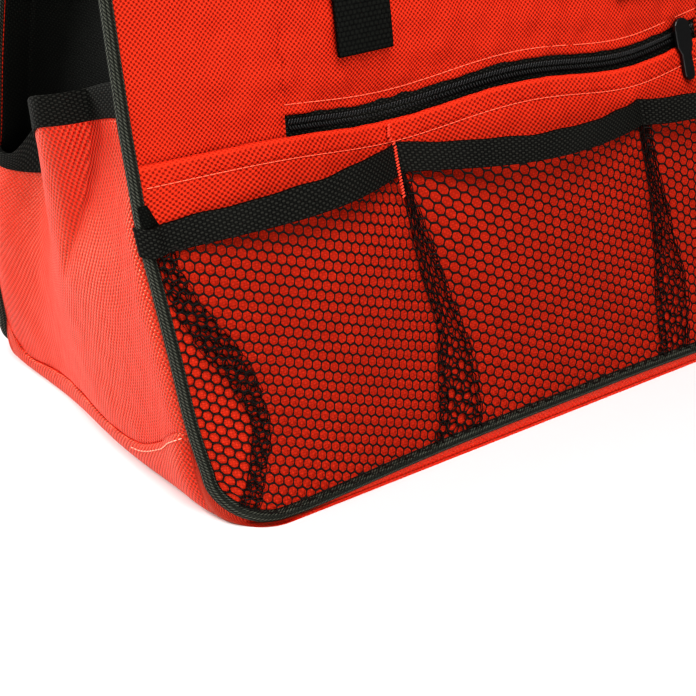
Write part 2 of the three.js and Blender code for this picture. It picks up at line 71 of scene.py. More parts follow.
SECTIONS = table("z middle edge half square", [
    (0, 118, 105, 193, 10), (10, 116, 102, 195, 10), (26, 111, 97, 198, 8),
    (50, 103.5, 92, 202, 5), (80, 95, 86.5, 205, 3.5), (104, 88, 79.5, 206.5, 3),
    (125, 81, 71.5, 207, 2.6), (138, 76, 67, 207, 2.4), (153, 70, 63.5, 207, 2.4),
    (179, 62.5, 57.5, 207, 2.4), (245, 48, 42, 205, 2.4)])
FRONT_DENT = {"x": -75, "z": 146, "deep": 9, "wide": 50, "tall": 30}
TAPE_TOPS = table("x top", [(-204, 135), (-DIVIDER, 142), (DIVIDER, 136.5), (204, 134)])
POCKETS = [
    {"name": "left", "low": -204, "high": -DIVIDER, "bulge": 12, "peak": 0.66, "rise": 4.2,
     "deeper": 2.8, "flat": 0.195},
    {"name": "middle", "low": -DIVIDER, "high": DIVIDER, "bulge": 14, "peak": 0.5, "rise": 0.8,
     "deeper": 1.2, "flat": 0.19},
    {"name": "right", "low": DIVIDER, "high": 204, "bulge": 12, "peak": 0.34, "rise": 2.0,
     "deeper": 1.2, "flat": 0.175},
]
END_FOLDS = table("z ridge_at ridge valley_at valley fold_at fold", [
    (8, -0.26, 4, 0.45, -1, 0.85, 0), (22, -0.24, 6, 0.5, -2, 0.86, 1),
    (45, -0.08, 5, 0.56, -4, 0.88, 2), (76, 0, 6, 0.54, -6, 0.88, 2),
    (97, 0, 7, 0.52, -8, 0.88, 2), (127, -0.02, 10, 0.48, -10, 0.88, 1),
    (168, -0.18, 18, 0.42, -10, 0.88, 1), (195, -0.2, 20, 0.4, -9, 0.88, 1)])
END_EDGES = table("at seam rim", [
    (-1, 46, 178), (-0.85, 38, 176), (-0.72, 29.5, 174), (-0.46, 18, 169), (-0.18, 14.5, 164),
    (0.1, 15, 147), (0.35, 15, 129), (0.6, 12, 122), (0.82, 11, 121), (1, 27, 124)])
END_ROLL, END_ROLL_WIDE, END_ROLL_FADE = 4.0, 0.1, (125, 165)
CREASE_BEND, CREASE_ROUND = 2.6, 0.07
END_CREASE = table("z at deep", [
    (88, -0.05, 0), (100, -0.1, 2), (115, -0.2, 5.5), (135, -0.31, 10.5), (152, -0.4, 13.5),
    (168, -0.47, 15.5), (195, -0.52, 16.5)])
END_TAPE_HEIGHTS = table("at tall", [
    (-1, 15), (-0.1, 15), (0.15, 23), (0.35, 34), (0.52, 34), (0.66, 22), (0.8, 9), (1, 8)])
# Pleats of the net: where the folded layers begin and end, at heights above the floor
CORNER_PLEAT = table("z low high", [
    (8, -190, -181), (12, -188, -179), (23, -183, -175), (35, -179, -170), (47, -177, -168),
    (63, -183, -170), (80, -193, -177), (91, -198, -184), (104, -203, -191), (118, -204, -196)])
FIRST_PLEAT = table("z low high", [
    (6, -87, -60), (13, -85, -57), (26, -80, -55), (40, -77, -55), (56, -74, -57.5),
    (69, -74, -61), (82, -76.5, -64.5), (98, -78.5, -68), (110, -77.5, -70), (128, -75, -72.2)])
SECOND_PLEAT = table("z low high", [
    (6, 62, 82), (14, 63, 84), (40, 66, 88), (72, 70, 83), (97, 70.5, 79), (128, 71, 75)])


def hermite(keys, values, at):
    """Cubic curve through the values at the keys, held level past the ends.

    The slope at a key is the rise between its two neighbours over their distance.
    """
    at = np.asarray(at, float)
    keys = np.broadcast_to(keys, at.shape + np.shape(keys)[-1:])
    values = np.broadcast_to(values, at.shape + np.shape(values)[-1:])
    last = keys.shape[-1] - 1
    row = np.clip((keys[..., 1:-1] < at[..., None]).sum(-1), 0, last - 1)

    def pick(array, index):
        return np.take_along_axis(array, np.clip(index, 0, last)[..., None], -1)[..., 0]

    def slope(index):
        rise = pick(values, index + 1) - pick(values, index - 1)
        return rise / (pick(keys, index + 1) - pick(keys, index - 1))

    step = pick(keys, row + 1) - pick(keys, row)
    t = np.clip((at - pick(keys, row)) / step, 0, 1)
    near = (2 * t**3 - 3 * t**2 + 1) * pick(values, row) + (t**3 - 2 * t**2 + t) * step * slope(row)
    far = (3 * t**2 - 2 * t**3) * pick(values, row + 1) + (t**3 - t**2) * step * slope(row + 1)
    return near + far


def along(rows, column, at):
    """One column of a table on the cubic curve through its rows."""
    return hermite(next(iter(rows.values())), rows[column], at)


def mix(low, high, share):
    """Straight line from low at share 0 to high at share 1."""
    return low + (high - low) * share


def ease(value, low, high):
    """Smooth step from 0 at low to 1 at high."""
    share = np.clip((value - low) / (high - low), 0, 1)
    return share * share * (3 - 2 * share)


def hump(value, wide):
    """Bell curve: one at zero, falling off with the square of the value over its width."""
    return np.exp(-((value / wide) ** 2))


def half_length(z):
    """Distance of the piping from the middle of the bag, by height."""
    return along(SECTIONS, "half", z)


def half_depth(x, z):
    """Distance of the front from the middle plane: full at the middle, less at the piping."""
    share = np.minimum(np.abs(x) / half_length(z), 1)
    edge = along(SECTIONS, "edge", z)
    square = along(SECTIONS, "square", z)
    return edge + (along(SECTIONS, "middle", z) - edge) * (1 - share**square)


def front_y(x, z):
    """Y of the front's outer face, with the dent where the first pocket division pulls it in."""
    x, z = np.broadcast_arrays(np.asarray(x, float), np.asarray(z, float))
    dent = FRONT_DENT
    pressed = dent["deep"] * hump(x - dent["x"], dent["wide"]) * hump(z - dent["z"], dent["tall"])
    share = np.minimum(np.abs(x) / half_length(z), 1)
    return pressed * (1 - share**4) - half_depth(x, z)


def fold_top(x):
    """Height of the folded edge, pulled down where the pockets are divided."""
    return FOLD - FOLD_DIP * (hump(x + DIVIDER, FOLD_DIP_WIDE) + hump(x - DIVIDER, FOLD_DIP_WIDE))


def bottom_lift(x):
    """The bottom piping rises from the corners to the middle as one minus a cube."""
    share = np.minimum(np.abs(x) / (half_length(CORNER_TOP) - CORNER_WIDE), 1)
    return BOTTOM_RISE * (1 - share**3)


def corner_point(turn, inset):
    """Quarter ellipse from the side (turn 0) to the bottom (turn 1), drawn in by the inset."""
    angle = turn * np.pi / 2
    x = half_length(CORNER_TOP) - CORNER_WIDE + (CORNER_WIDE - inset) * np.cos(angle)
    return x, CORNER_TOP - (CORNER_TALL - inset) * np.sin(angle)


def panel_grid(columns, corner_rows, shares, inset, top):
    """X and Z over a panel: rows climb the rounded corners, then go up to top(x) by shares.

    Across a row, X runs evenly from the left outline to the right one.
    """
    share = np.linspace(-1, 1, columns)[None, :]
    climb = np.linspace(0, 1, corner_rows, endpoint=False)[:, None]
    corner_x, corner_z = corner_point(1 - climb, inset)
    low_x = share * corner_x
    low_z = corner_z + bottom_lift(low_x) * (1 - climb)
    high = top(share * (half_length(FOLD) - inset))
    z = mix(CORNER_TOP, high, np.asarray(shares, float)[:, None])
    high_x = share * (half_length(z) - inset)
    return np.vstack([low_x, high_x]), np.vstack([low_z, z])


def pocket_at(x):
    """Index of the pocket at each X."""
    return (x > -DIVIDER).astype(int) + (x > DIVIDER).astype(int)


def pocket_value(x, column):
    """One number of the pocket at each X."""
    return np.array([pocket[column] for pocket in POCKETS], float)[pocket_at(x)]


def fullness(x):
    """0 where the pocket is sewn, 1 where it stands off most: the sine of a bent share."""
    low, high = pocket_value(x, "low"), pocket_value(x, "high")
    share = np.clip((x - low) / (high - low), 0, 1)
    bend = np.log(0.5) / np.log(pocket_value(x, "peak"))
    return np.maximum(np.sin(np.pi * share**bend), 0)


def tape_top(x):
    """Height of the tape's upper edge: straight between its ends, raised where a pocket is full."""
    return np.interp(x, TAPE_TOPS["x"], TAPE_TOPS["top"]) + pocket_value(x, "rise") * fullness(x)


def tape_low(x):
    """Height of the tape's lower edge, which hangs deeper where the pocket stands off."""
    return tape_top(x) - TAPE_TALL - pocket_value(x, "deeper") * fullness(x)


def pocket_bulge(x, rise):
    """Distance of the net from the front: powers of the fullness and of the share of the height."""
    return pocket_value(x, "bulge") * fullness(x) ** 0.9 * rise**1.2


def net_bottom(x):
    """Height of the net's lower edge, at the upper side of the bottom piping."""
    centre = half_length(CORNER_TOP) - CORNER_WIDE
    inset = SEAM - 1.5
    share = np.clip((np.abs(x) - centre) / (CORNER_WIDE - inset), 0, 1)
    arc = CORNER_TOP - (CORNER_TALL - inset) * np.sqrt(1 - share**2)
    return arc + bottom_lift(x)


def end_out(at, z):
    """How far the end cloth stands out, on a cubic curve over ridge, valley and far fold.

    A crease is pressed in between the piping and the ridge. Its near side is flat and its far side
    bends down to it. Beside the piping the cloth swells out by a share times its falling exponential.
    """
    at, z = np.broadcast_arrays(np.asarray(at, float), np.asarray(z, float))
    one = np.ones_like(z)

    def fold(column):
        return along(END_FOLDS, column, z)

    keys = np.stack([-one, fold("ridge_at"), fold("valley_at"), fold("fold_at"), one], -1)
    outs = np.stack([0 * one, fold("ridge"), fold("valley"), fold("fold"), 0 * one], -1)
    bottom = along(END_CREASE, "at", z)
    near = np.clip((at + 1) / (bottom + 1), 0, 1)
    far = np.clip((at - fold("ridge_at")) / (bottom - fold("ridge_at")), 0, 1) ** CREASE_BEND
    climb = np.where(at < bottom, near, far)
    pressed = 1 + CREASE_ROUND - np.sqrt((1 - climb) ** 2 + CREASE_ROUND**2)
    walk = (at + 1) / END_ROLL_WIDE
    roll = END_ROLL * walk * np.exp(1 - walk) * (1 - ease(z, *END_ROLL_FADE))
    return hermite(keys, outs, at) + roll - along(END_CREASE, "deep", z) * np.maximum(pressed, 0)


def end_point(at, z, depth, inset=SEAM):
    """Point of the left end at a share of its half depth, a depth inside its outer face."""
    at, z = np.broadcast_arrays(np.asarray(at, float), np.asarray(z, float))
    reach = along(SECTIONS, "edge", z) - inset
    return np.stack([-(half_length(z) + end_out(at, z) - depth), at * reach, z], -1)


SLACK_FOOT, SLACK_SIDES, SLACK_RIM = (8, 40), (155, 185), (RIM - 30, RIM - 5)


def ripple(across, up, size):
    """Slack of the cloth: five slow waves over the sheet, none of them in step."""
    waves = [(0.031, 0.017, 0.4), (-0.022, 0.043, 1.9), (0.058, -0.029, 3.1),
             (0.012, 0.071, 4.4), (0.083, 0.037, 5.2)]
    total = 0 * across + 0 * up
    for along_rate, up_rate, start in waves:
        total = total + np.sin(2 * np.pi * (along_rate * across + up_rate * up) + start)
    return size * total / len(waves)


def slack_at(x, z, size, start=0):
    """Slack of the front or the back, gone at its foot, its black lining and its rim tape."""
    held = ease(z, *SLACK_FOOT) * (1 - ease(np.abs(x), *SLACK_SIDES)) * (1 - ease(z, *SLACK_RIM))
    return ripple(x, z + start, size) * held


def stack(x, y, z):
    """Points from three arrays, spread to one shape."""
    return np.stack(np.broadcast_arrays(x, y, z), -1).astype(float)


# Meshes

def grid_faces(rows, columns, ring=False):
    """Quads between neighbouring points of a grid; a ring joins its last column to the first."""
    i = np.arange(rows - 1)[:, None]
    j = np.arange(columns if ring else columns - 1)[None, :]
    k = (j + 1) % columns
    quads = [i * columns + j, i * columns + k, (i + 1) * columns + k, (i + 1) * columns + j]
    return np.stack(np.broadcast_arrays(*quads), -1).reshape(-1, 4)


def ladder_cap(first, count):
    """Quads across a ring of an even number of points, joining each side to the one opposite."""
    i = np.arange(count // 2 - 1)
    return first + np.stack([i, i + 1, count - 2 - i, count - 1 - i], -1)


def tube_faces(rings, sides):
    """Quads of a closed tube: its wall, and a ladder on its first and its last ring."""
    caps = [ladder_cap(0, sides)[:, ::-1], ladder_cap((rings - 1) * sides, sides)]
    return np.concatenate([grid_faces(rings, sides, ring=True), *caps])


def run_lengths(points):
    """Length from the first point to each one, along the first axis."""
    steps = np.linalg.norm(np.diff(points, axis=0), axis=-1)
    return np.concatenate([0 * steps[:1], np.cumsum(steps, 0)])


def sheet_lengths(points):
    """UV in millimetres: length along each row from its middle, and up the middle column."""
    across = run_lengths(np.swapaxes(points, 0, 1)).T
    middle = points.shape[1] // 2
    across = across - across[:, middle:middle + 1]
    up = run_lengths(points[:, middle])[:, None] + 0 * across
    return np.stack([across, up], -1)


def make_piece(name, points, faces, uv, finish, slot, nodes=()):
    """One mesh object at the origin from points in millimetres, riding on the bag."""
    mesh = bpy.data.meshes.new(name)
    flat = np.ascontiguousarray(points, float).reshape(-1, 3) * MM
    mesh.vertices.add(len(flat))
    mesh.vertices.foreach_set("co", flat.ravel())
    mesh.loops.add(faces.size)
    mesh.loops.foreach_set("vertex_index", faces.ravel().astype(np.int32))
    mesh.polygons.add(len(faces))
    mesh.polygons.foreach_set("loop_start", np.arange(0, faces.size, 4, dtype=np.int32))
    mesh.update(calc_edges=True)
    layer = mesh.uv_layers.new(name="Cloth")
    layer.data.foreach_set("uv", np.reshape(uv, (-1, 2))[faces.ravel()].ravel())
    mesh.shade_smooth()
    mesh.materials.append(finish)
    piece = bpy.data.objects.new(name, mesh)
    bpy.context.scene.collection.objects.link(piece)
    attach(piece, "root")
    if nodes:
        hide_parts(*nodes)
    return piece


def point_values(piece, name, values):
    """Attribute with one number for each point of the piece."""
    numbers = np.ascontiguousarray(values, np.float32).ravel()
    piece.data.attributes.new(name, "FLOAT", "POINT").data.foreach_set("value", numbers)


def cloth_piece(name, points, finish, slot, nodes, flip=False, thick=CLOTH, uv=None):
    """Sheet from a grid of its outer face, with its thickness added behind that face."""
    if uv is None:
        uv = sheet_lengths(points)
    faces = grid_faces(*points.shape[:2])
    piece = make_piece(name, points, faces[:, ::-1] if flip else faces, uv, finish, slot, nodes)
    solid = piece.modifiers.new("Cloth thickness", "SOLIDIFY")
    solid.thickness = thick * MM
    solid.offset = -1
    return piece


def rounded_section(tall, thick, corner, steps):
    """Points round a rounded rectangle from its upper edge: shares v and w, and millimetres."""
    angle = np.linspace(0, np.pi / 2, steps)
    centres = [(1, 1), (0, 1), (0, 0), (1, 0)]
    v, w = [], []
    for turn, (side, face) in enumerate(centres):
        around = angle + turn * np.pi / 2
        v.append(mix(corner, tall - corner, side) + corner * np.cos(around))
        w.append(mix(corner, thick - corner, face) + corner * np.sin(around))
    v, w = np.concatenate(v), np.concatenate(w)
    return v / tall, w / thick, np.stack([v, w], -1)


def strap_piece(name, points, section, finish, slot, nodes, flip=False):
    """Closed strap from rings of section points along it.

    UV is the length along the strap and the length round its section, in millimetres.
    """
    faces = tube_faces(*points.shape[:2])
    length = run_lengths(points.mean(1))
    girth = run_lengths(section)
    uv = np.stack(np.broadcast_arrays(length[:, None], girth[None, :]), -1)
    return make_piece(name, points, faces[:, ::-1] if flip else faces, uv, finish, slot, nodes)


def tube_points(path, radius, sides, facing):
    """Rings of a tube round a path; the facing direction fixes where each ring starts."""
    along_path = np.gradient(path, axis=0)
    along_path /= np.linalg.norm(along_path, axis=1, keepdims=True)
    side = np.cross(along_path, facing)
    side /= np.linalg.norm(side, axis=1, keepdims=True)
    up = np.cross(side, along_path)
    angle = np.linspace(0, 2 * np.pi, sides, endpoint=False)
    ring = up[:, None] * np.cos(angle)[None, :, None] + side[:, None] * np.sin(angle)[None, :, None]
    return path[:, None] + radius * ring


BEAD_SIDES = 6


def beads(centre, direction, outward, length, radius):
    """Short threads: five rings of points each, thin at the ends and full in the middle."""
    direction = np.broadcast_to(direction, centre.shape)
    direction = direction / np.linalg.norm(direction, axis=-1, keepdims=True)
    side = np.cross(direction, outward)
    side = side / np.linalg.norm(side, axis=-1, keepdims=True)
    up = np.cross(side, direction)
    place = np.array([-1, -0.72, 0, 0.72, 1])
    full = np.array([0.3, 0.85, 1, 0.85, 0.3])
    angle = np.linspace(0, 2 * np.pi, BEAD_SIDES, endpoint=False)
    spine = centre[:, None, :] + direction[:, None, :] * (place * length / 2)[None, :, None]
    ring = (up[:, None, None, :] * np.cos(angle)[None, None, :, None]
            + side[:, None, None, :] * np.sin(angle)[None, None, :, None])
    points = spine[:, :, None, :] + ring * (full * radius)[None, :, None, None]
    first = np.arange(len(centre)) * len(place) * BEAD_SIDES
    faces = (first[:, None, None] + tube_faces(len(place), BEAD_SIDES)[None]).reshape(-1, 4)
    uv = np.stack(np.broadcast_arrays(place[:, None] * length / 2, angle[None, :]), -1)
    uv = np.broadcast_to(uv, (len(centre),) + uv.shape)
    return points.reshape(-1, 3), faces, uv.reshape(-1, 2)


def joined(parts):
    """Several (points, faces, uv) parts as one."""
    starts = np.cumsum([0] + [len(points) for points, _, _ in parts[:-1]])
    return (np.concatenate([points for points, _, _ in parts]),
            np.concatenate([faces + start for start, (_, faces, _) in zip(starts, parts)]),
            np.concatenate([uv for _, _, uv in parts]))


def spaced(path, pitch):
    """Points at even steps along a path, with the direction there."""
    walked = run_lengths(path)
    at = np.arange(pitch / 2, walked[-1], pitch)
    even = np.stack([np.interp(at, walked, path[:, axis]) for axis in range(3)], -1)
    return even, np.gradient(even, axis=0)


STITCH_PITCH, STITCH_LIFT = 3.3, 0.12


def row_of_stitches(path, outward, length=3.2, radius=0.28):
    """One thread at each even step along a path, lifted a little off the cloth."""
    even, direction = spaced(path, STITCH_PITCH)
    return beads(even + STITCH_LIFT * outward, direction, outward, length, radius)


# Net

HEX_SIDE = 2.95
NET_STRETCH = (0.9, 1.0)
STRAND_THICK, STRAND_THIN = 0.43, 0.22
STRAND_LIFT = 0.34
NET_COVER, NET_LAP, NET_FLAT_TALL = 0.46, 4.0, 0.12
NET_LOW, NET_FOOT, NET_HIGH, NET_TUCK = 10.0, 12.0, 126.0, 3.0
PLEAT_OFFS, PLEAT_TURNS = (1.0, 2.2), (0.12, -0.3)
CORNER_OFFS, CORNER_TURNS = (1.8,), (0.35,)


def hex_net(surface, wide, tall, turn, shift=(0.0, 0.0), squeeze=1.0, keep=None, pulled=NET_STRETCH):
    """Net of flat-topped hexagons laid on surface(u, v, lift), for u and v from 0 to 1.

    Each mesh is a ring of twelve points on its outline and twelve round its hole. The outline
    is raised to the front and to the back, so a strand has the section of a lens; one pair of its
    six sides is thinner than the other two. Outline points are shared by neighbours, and the net's
    free edge is closed from front to back. A mesh stays where keep(u, v) holds at its centre.
    """
    stretch = np.array([pulled[0] * squeeze, pulled[1]])
    reach = int(np.hypot(wide / squeeze, tall) / (1.3 * HEX_SIDE))
    column, row = np.meshgrid(np.arange(-reach, reach + 1), np.arange(-reach, reach + 1))
    column, row = column.ravel(), row.ravel()
    centre = np.stack([column * 1.5, (row + 0.5 * (column % 2)) * np.sqrt(3)], -1)
    corner = np.arange(6) * np.pi / 3
    corners = np.stack([np.cos(corner), np.sin(corner)], -1)
    middles = (corners + np.roll(corners, -1, 0)) / 2
    outline = np.stack([corners, middles], 1).reshape(12, 2)
    strands = np.tile([STRAND_THICK, STRAND_THICK, STRAND_THIN], 2)
    hole_middle = 1 - strands / (HEX_SIDE * np.sqrt(3) / 2)
    hole_corner = 1 - 0.8 * (strands + np.roll(strands, 1)) / HEX_SIDE
    hole = outline * np.stack([hole_corner, hole_middle], -1).reshape(12, 1)
    cosine, sine = np.cos(turn), np.sin(turn)
    to_flat = HEX_SIDE * np.array([[cosine, sine], [-sine, cosine]])

    def to_share(points):
        flat = points @ to_flat * stretch + shift
        return flat / [wide, tall] + [0.5, 0.5]

    place = to_share(centre)
    inside = np.abs(place - 0.5).max(1) < 0.5
    if keep is not None:
        inside &= keep(np.clip(place[:, 0], 0, 1), np.clip(place[:, 1], 0, 1))
    centre = centre[inside]
    outer = centre[:, None] + outline
    inner = centre[:, None] + hole
    key = np.round(outer.reshape(-1, 2) * 1000).astype(np.int64)
    shared, index = np.unique(key, axis=0, return_inverse=True)
    index = index.reshape(-1, 12)
    count = len(shared)
    ring = to_share(shared / 1000.0)
    holes = to_share(inner.reshape(-1, 2))
    share = np.clip(np.concatenate([ring, ring, holes]), 0, 1)
    lift = np.concatenate([np.full(count, STRAND_LIFT), np.full(count, -STRAND_LIFT),
                           np.zeros(len(holes))])
    points = surface(share[:, 0], share[:, 1], lift)
    after = np.roll(index, -1, 1)
    hole_index = 2 * count + np.arange(len(holes)).reshape(-1, 12)
    hole_after = np.roll(hole_index, -1, 1)
    front = np.stack([index, after, hole_after, hole_index], -1).reshape(-1, 4)
    back = np.stack([hole_index, hole_after, after + count, index + count], -1).reshape(-1, 4)
    start, end = index.ravel(), after.ravel()
    free = ~np.isin(start * count + end, end * count + start)
    start, end = start[free], end[free]
    edge = np.stack([start, start + count, end + count, end], -1)
    uv = np.concatenate([ring, ring, holes]) * [wide, tall]
    return points, np.concatenate([front, back, edge]), uv


def on_front(x, z, off, lift):
    """Points a distance off the front, moved by a lift along the outward direction."""
    base = stack(x, front_y(x, z) - off, z)
    return base + np.asarray(lift)[..., None] * OUTWARDS


def net_height(x, v):
    """Height at a share of the way from below the piping to just behind the tape."""
    return mix(NET_TUCK, tape_low(x) + NET_TUCK, v)


def net_point(x, v, off_low, standing, lift):
    """Point of a layer that stands off by off_low, and by the pocket's bulge times standing."""
    z = np.maximum(net_height(x, v), net_bottom(x))
    rise = np.clip((z - NET_FOOT) / (tape_low(x) - NET_FOOT), 0, 1)
    return on_front(x, z, off_low + standing * pocket_bulge(x, rise), lift)


def pleat_surface(left, right, off_low, standing):
    """Layer spread between two edges that are given by height."""
    def surface(u, v, lift):
        guess = mix(NET_LOW, NET_HIGH, v)
        x = mix(left(guess), right(guess), u)
        z = net_height(x, v)
        return net_point(mix(left(z), right(z), u), v, off_low, standing, lift)
    return surface


def even_layer(line, wide, left, right, off_low, standing, turn=0.0, pulled=NET_STRETCH):
    """Layer whose columns run beside a line, with even meshes cut off at two edges."""
    def place(u, v):
        z = net_height(line(mix(NET_LOW, NET_HIGH, v)) + u * wide, v)
        return line(z) + u * wide, z

    def surface(u, v, lift):
        x, z = place(u, v)
        return net_point(np.clip(x, left(z), right(z)), v, off_low, standing, lift)

    def keep(u, v):
        x, z = place(u, v)
        return (x > left(z) - 0.5) & (x < right(z) + 0.5) & (z > net_bottom(x))
    return hex_net(surface, wide, NET_HIGH, turn, keep=keep, pulled=pulled)


def edge_of(pleat, column, mirror=1):
    """Edge of a pleat by height, on either half of the bag."""
    return lambda z: mirror * along(pleat, column, z)


def level(x):
    """Edge at one X for every height."""
    return lambda z: x + 0 * z


def beside(edge, step):
    """Edge a step along X from another one."""
    return lambda z: edge(z) + step


def side_edge(mirror):
    """X of the net's sewn side, just inside the piping."""
    def edge(z):
        turn = np.clip((CORNER_TOP - z) / (CORNER_TALL - SEAM), 0, 1)
        round_x = half_length(CORNER_TOP) - CORNER_WIDE
        round_x = round_x + (CORNER_WIDE - SEAM) * np.sqrt(1 - turn**2)
        straight = half_length(np.maximum(z, CORNER_TOP)) - SEAM + 1.0
        return mirror * np.where(z < CORNER_TOP, round_x + 1.0, straight)
    return edge


def pleat_layers(low, high, wide, offs, turns):
    """Folded layers of net between two edges, squeezed together and turned a little each."""
    layers = []
    for number, (off, turn) in enumerate(zip(offs, turns)):
        surface = pleat_surface(low, high, off, 0.25)
        shift = (1.7 * number, 2.3 * number)
        layers.append(hex_net(surface, wide, NET_HIGH, turn, shift, squeeze=0.85))
    return layers


def make_nets():
    """Three pockets: a main layer each, and the pleats that the photograph shows."""
    first_low, first_high = edge_of(FIRST_PLEAT, "low"), edge_of(FIRST_PLEAT, "high")
    second_low, second_high = edge_of(SECOND_PLEAT, "low"), edge_of(SECOND_PLEAT, "high")
    corner_low, corner_high = edge_of(CORNER_PLEAT, "low"), edge_of(CORNER_PLEAT, "high")
    far_low, far_high = edge_of(CORNER_PLEAT, "high", -1), edge_of(CORNER_PLEAT, "low", -1)
    left = [
        even_layer(level(-205), 138, beside(corner_low, -1), beside(first_low, NET_LAP), 3.0, 1.0, 0.2,
                   (0.86, 0.97)),
        even_layer(side_edge(-1), 34, side_edge(-1), corner_high, 0.9, 0.1),
        *pleat_layers(corner_low, corner_high, 13, CORNER_OFFS, CORNER_TURNS),
        *pleat_layers(first_low, first_high, 18, PLEAT_OFFS, PLEAT_TURNS),
    ]
    middle = [
        even_layer(level(-92), 184, beside(first_high, -NET_LAP), beside(second_low, NET_LAP), 2.6, 1.0,
                   0.06, (1.03, 0.99)),
        *pleat_layers(second_low, second_high, 18, PLEAT_OFFS, PLEAT_TURNS),
    ]
    right = [
        even_layer(level(68), 138, beside(second_high, -NET_LAP), beside(far_high, 1), 3.0, 1.0),
        even_layer(beside(side_edge(1), -34), 34, far_low, side_edge(1), 0.9, 0.1),
        *pleat_layers(far_low, far_high, 13, CORNER_OFFS, CORNER_TURNS),
    ]
    for pocket, layers in zip(POCKETS, (left, middle, right)):
        name, wide = pocket["name"], pocket["flat"]
        points, faces, uv = joined(layers)
        piece = make_piece(f"net_{name}", points, faces, uv, NET_FINISH, "black_net",
                           [f"mesh_pocket_{name}"])


# Finishes

MATT_SPECULAR = 0.12


def new_finish(name, roughness, specular):
    """New material by its roughness and its highlights, with its node tree and its shader."""
    material = bpy.data.materials.new(name)
    material.use_nodes = True
    shader = material.node_tree.nodes["Principled BSDF"]
    shader.inputs["Roughness"].default_value = roughness
    shader.inputs["Specular IOR Level"].default_value = specular
    return material, material.node_tree, shader


def calc(tree, operation, *values):
    """Math node on numbers or sockets."""
    node = tree.nodes.new("ShaderNodeMath")
    node.operation = operation
    for socket, value in zip(node.inputs, values):
        if isinstance(value, (int, float)):
            socket.default_value = value
        else:
            tree.links.new(value, socket)
    return node.outputs[0]


def cloth_axes(tree):
    """U and V of the cloth, in millimetres."""
    uv = tree.nodes.new("ShaderNodeUVMap")
    uv.uv_map = "Cloth"
    split = tree.nodes.new("ShaderNodeSeparateXYZ")
    tree.links.new(uv.outputs["UV"], split.inputs[0])
    return uv.outputs["UV"], split.outputs[0], split.outputs[1]


def wave(tree, value, pitch):
    """Sine with a zero at each whole pitch."""
    return calc(tree, "SINE", calc(tree, "MULTIPLY", value, np.pi / pitch))


def point_value(tree, name):
    """Attribute of the cloth's points, zero on a piece that has none of that name."""
    node = tree.nodes.new("ShaderNodeAttribute")
    node.attribute_name = name
    return node.outputs["Fac"]


def patches(tree, vector, scale, detail=3.0):
    """Uneven spots from 0 to 1, the smaller the larger the scale."""
    node = tree.nodes.new("ShaderNodeTexNoise")
    node.inputs["Scale"].default_value = scale
    node.inputs["Detail"].default_value = detail
    tree.links.new(vector, node.inputs["Vector"])
    return node.outputs["Fac"]


def colour_between(tree, shader, share, dark, light):
    """Base colour from a dark tone at share 0 to a light one at share 1."""
    node = tree.nodes.new("ShaderNodeMix")
    node.data_type = "RGBA"
    node.inputs[6].default_value = (*dark, 1)
    node.inputs[7].default_value = (*light, 1)
    tree.links.new(share, node.inputs[0])
    tree.links.new(node.outputs[2], shader.inputs["Base Color"])


def raise_surface(tree, shader, height, strength, distance):
    """Relief that follows a height, up to a distance in millimetres."""
    node = tree.nodes.new("ShaderNodeBump")
    node.inputs["Strength"].default_value = strength
    node.inputs["Distance"].default_value = distance * MM
    tree.links.new(height, node.inputs["Height"])
    tree.links.new(node.outputs[0], shader.inputs["Normal"])


def weave(tree, pitches):
    """Product of a sine along and a sine up the cloth, its root as pillows, and an uneven tone."""
    vector, across, up = cloth_axes(tree)
    product = calc(tree, "MULTIPLY", wave(tree, across, pitches[0]), wave(tree, up, pitches[1]))
    pillow = calc(tree, "POWER", calc(tree, "ABSOLUTE", product), 0.4)
    cloudy = patches(tree, vector, 0.035)
    yarn = patches(tree, vector, 1.1, 2.0)
    uneven = calc(tree, "MULTIPLY_ADD", cloudy, 0.24, calc(tree, "MULTIPLY", yarn, 0.3))
    return product, pillow, uneven


def woven_finish(name, dark, light, pitches, warp_share, roughness, specular):
    """Plain weave: each crossing is a pillow, the root of the product of two sines.

    Crossings where the warp lies on top are lighter than those where the weft does. The colour
    follows the relief as painted light: tops lighter as painted highlights, gaps darker as shade.
    """
    material, tree, shader = new_finish(name, roughness, specular)
    product, pillow, uneven = weave(tree, pitches)
    warp = calc(tree, "GREATER_THAN", product, 0.0)
    over = calc(tree, "MULTIPLY_ADD", warp, warp_share, 1 - warp_share)
    height = calc(tree, "MULTIPLY", pillow, over)
    # Painted light: the tone rises with the relief, highlights on the tops and shade in the gaps
    tone = calc(tree, "MULTIPLY_ADD", height, 1.05, calc(tree, "SUBTRACT", uneven, 0.27))
    colour_between(tree, shader, tone, dark, light)
    raise_surface(tree, shader, height, 0.7, 0.5)
    return material


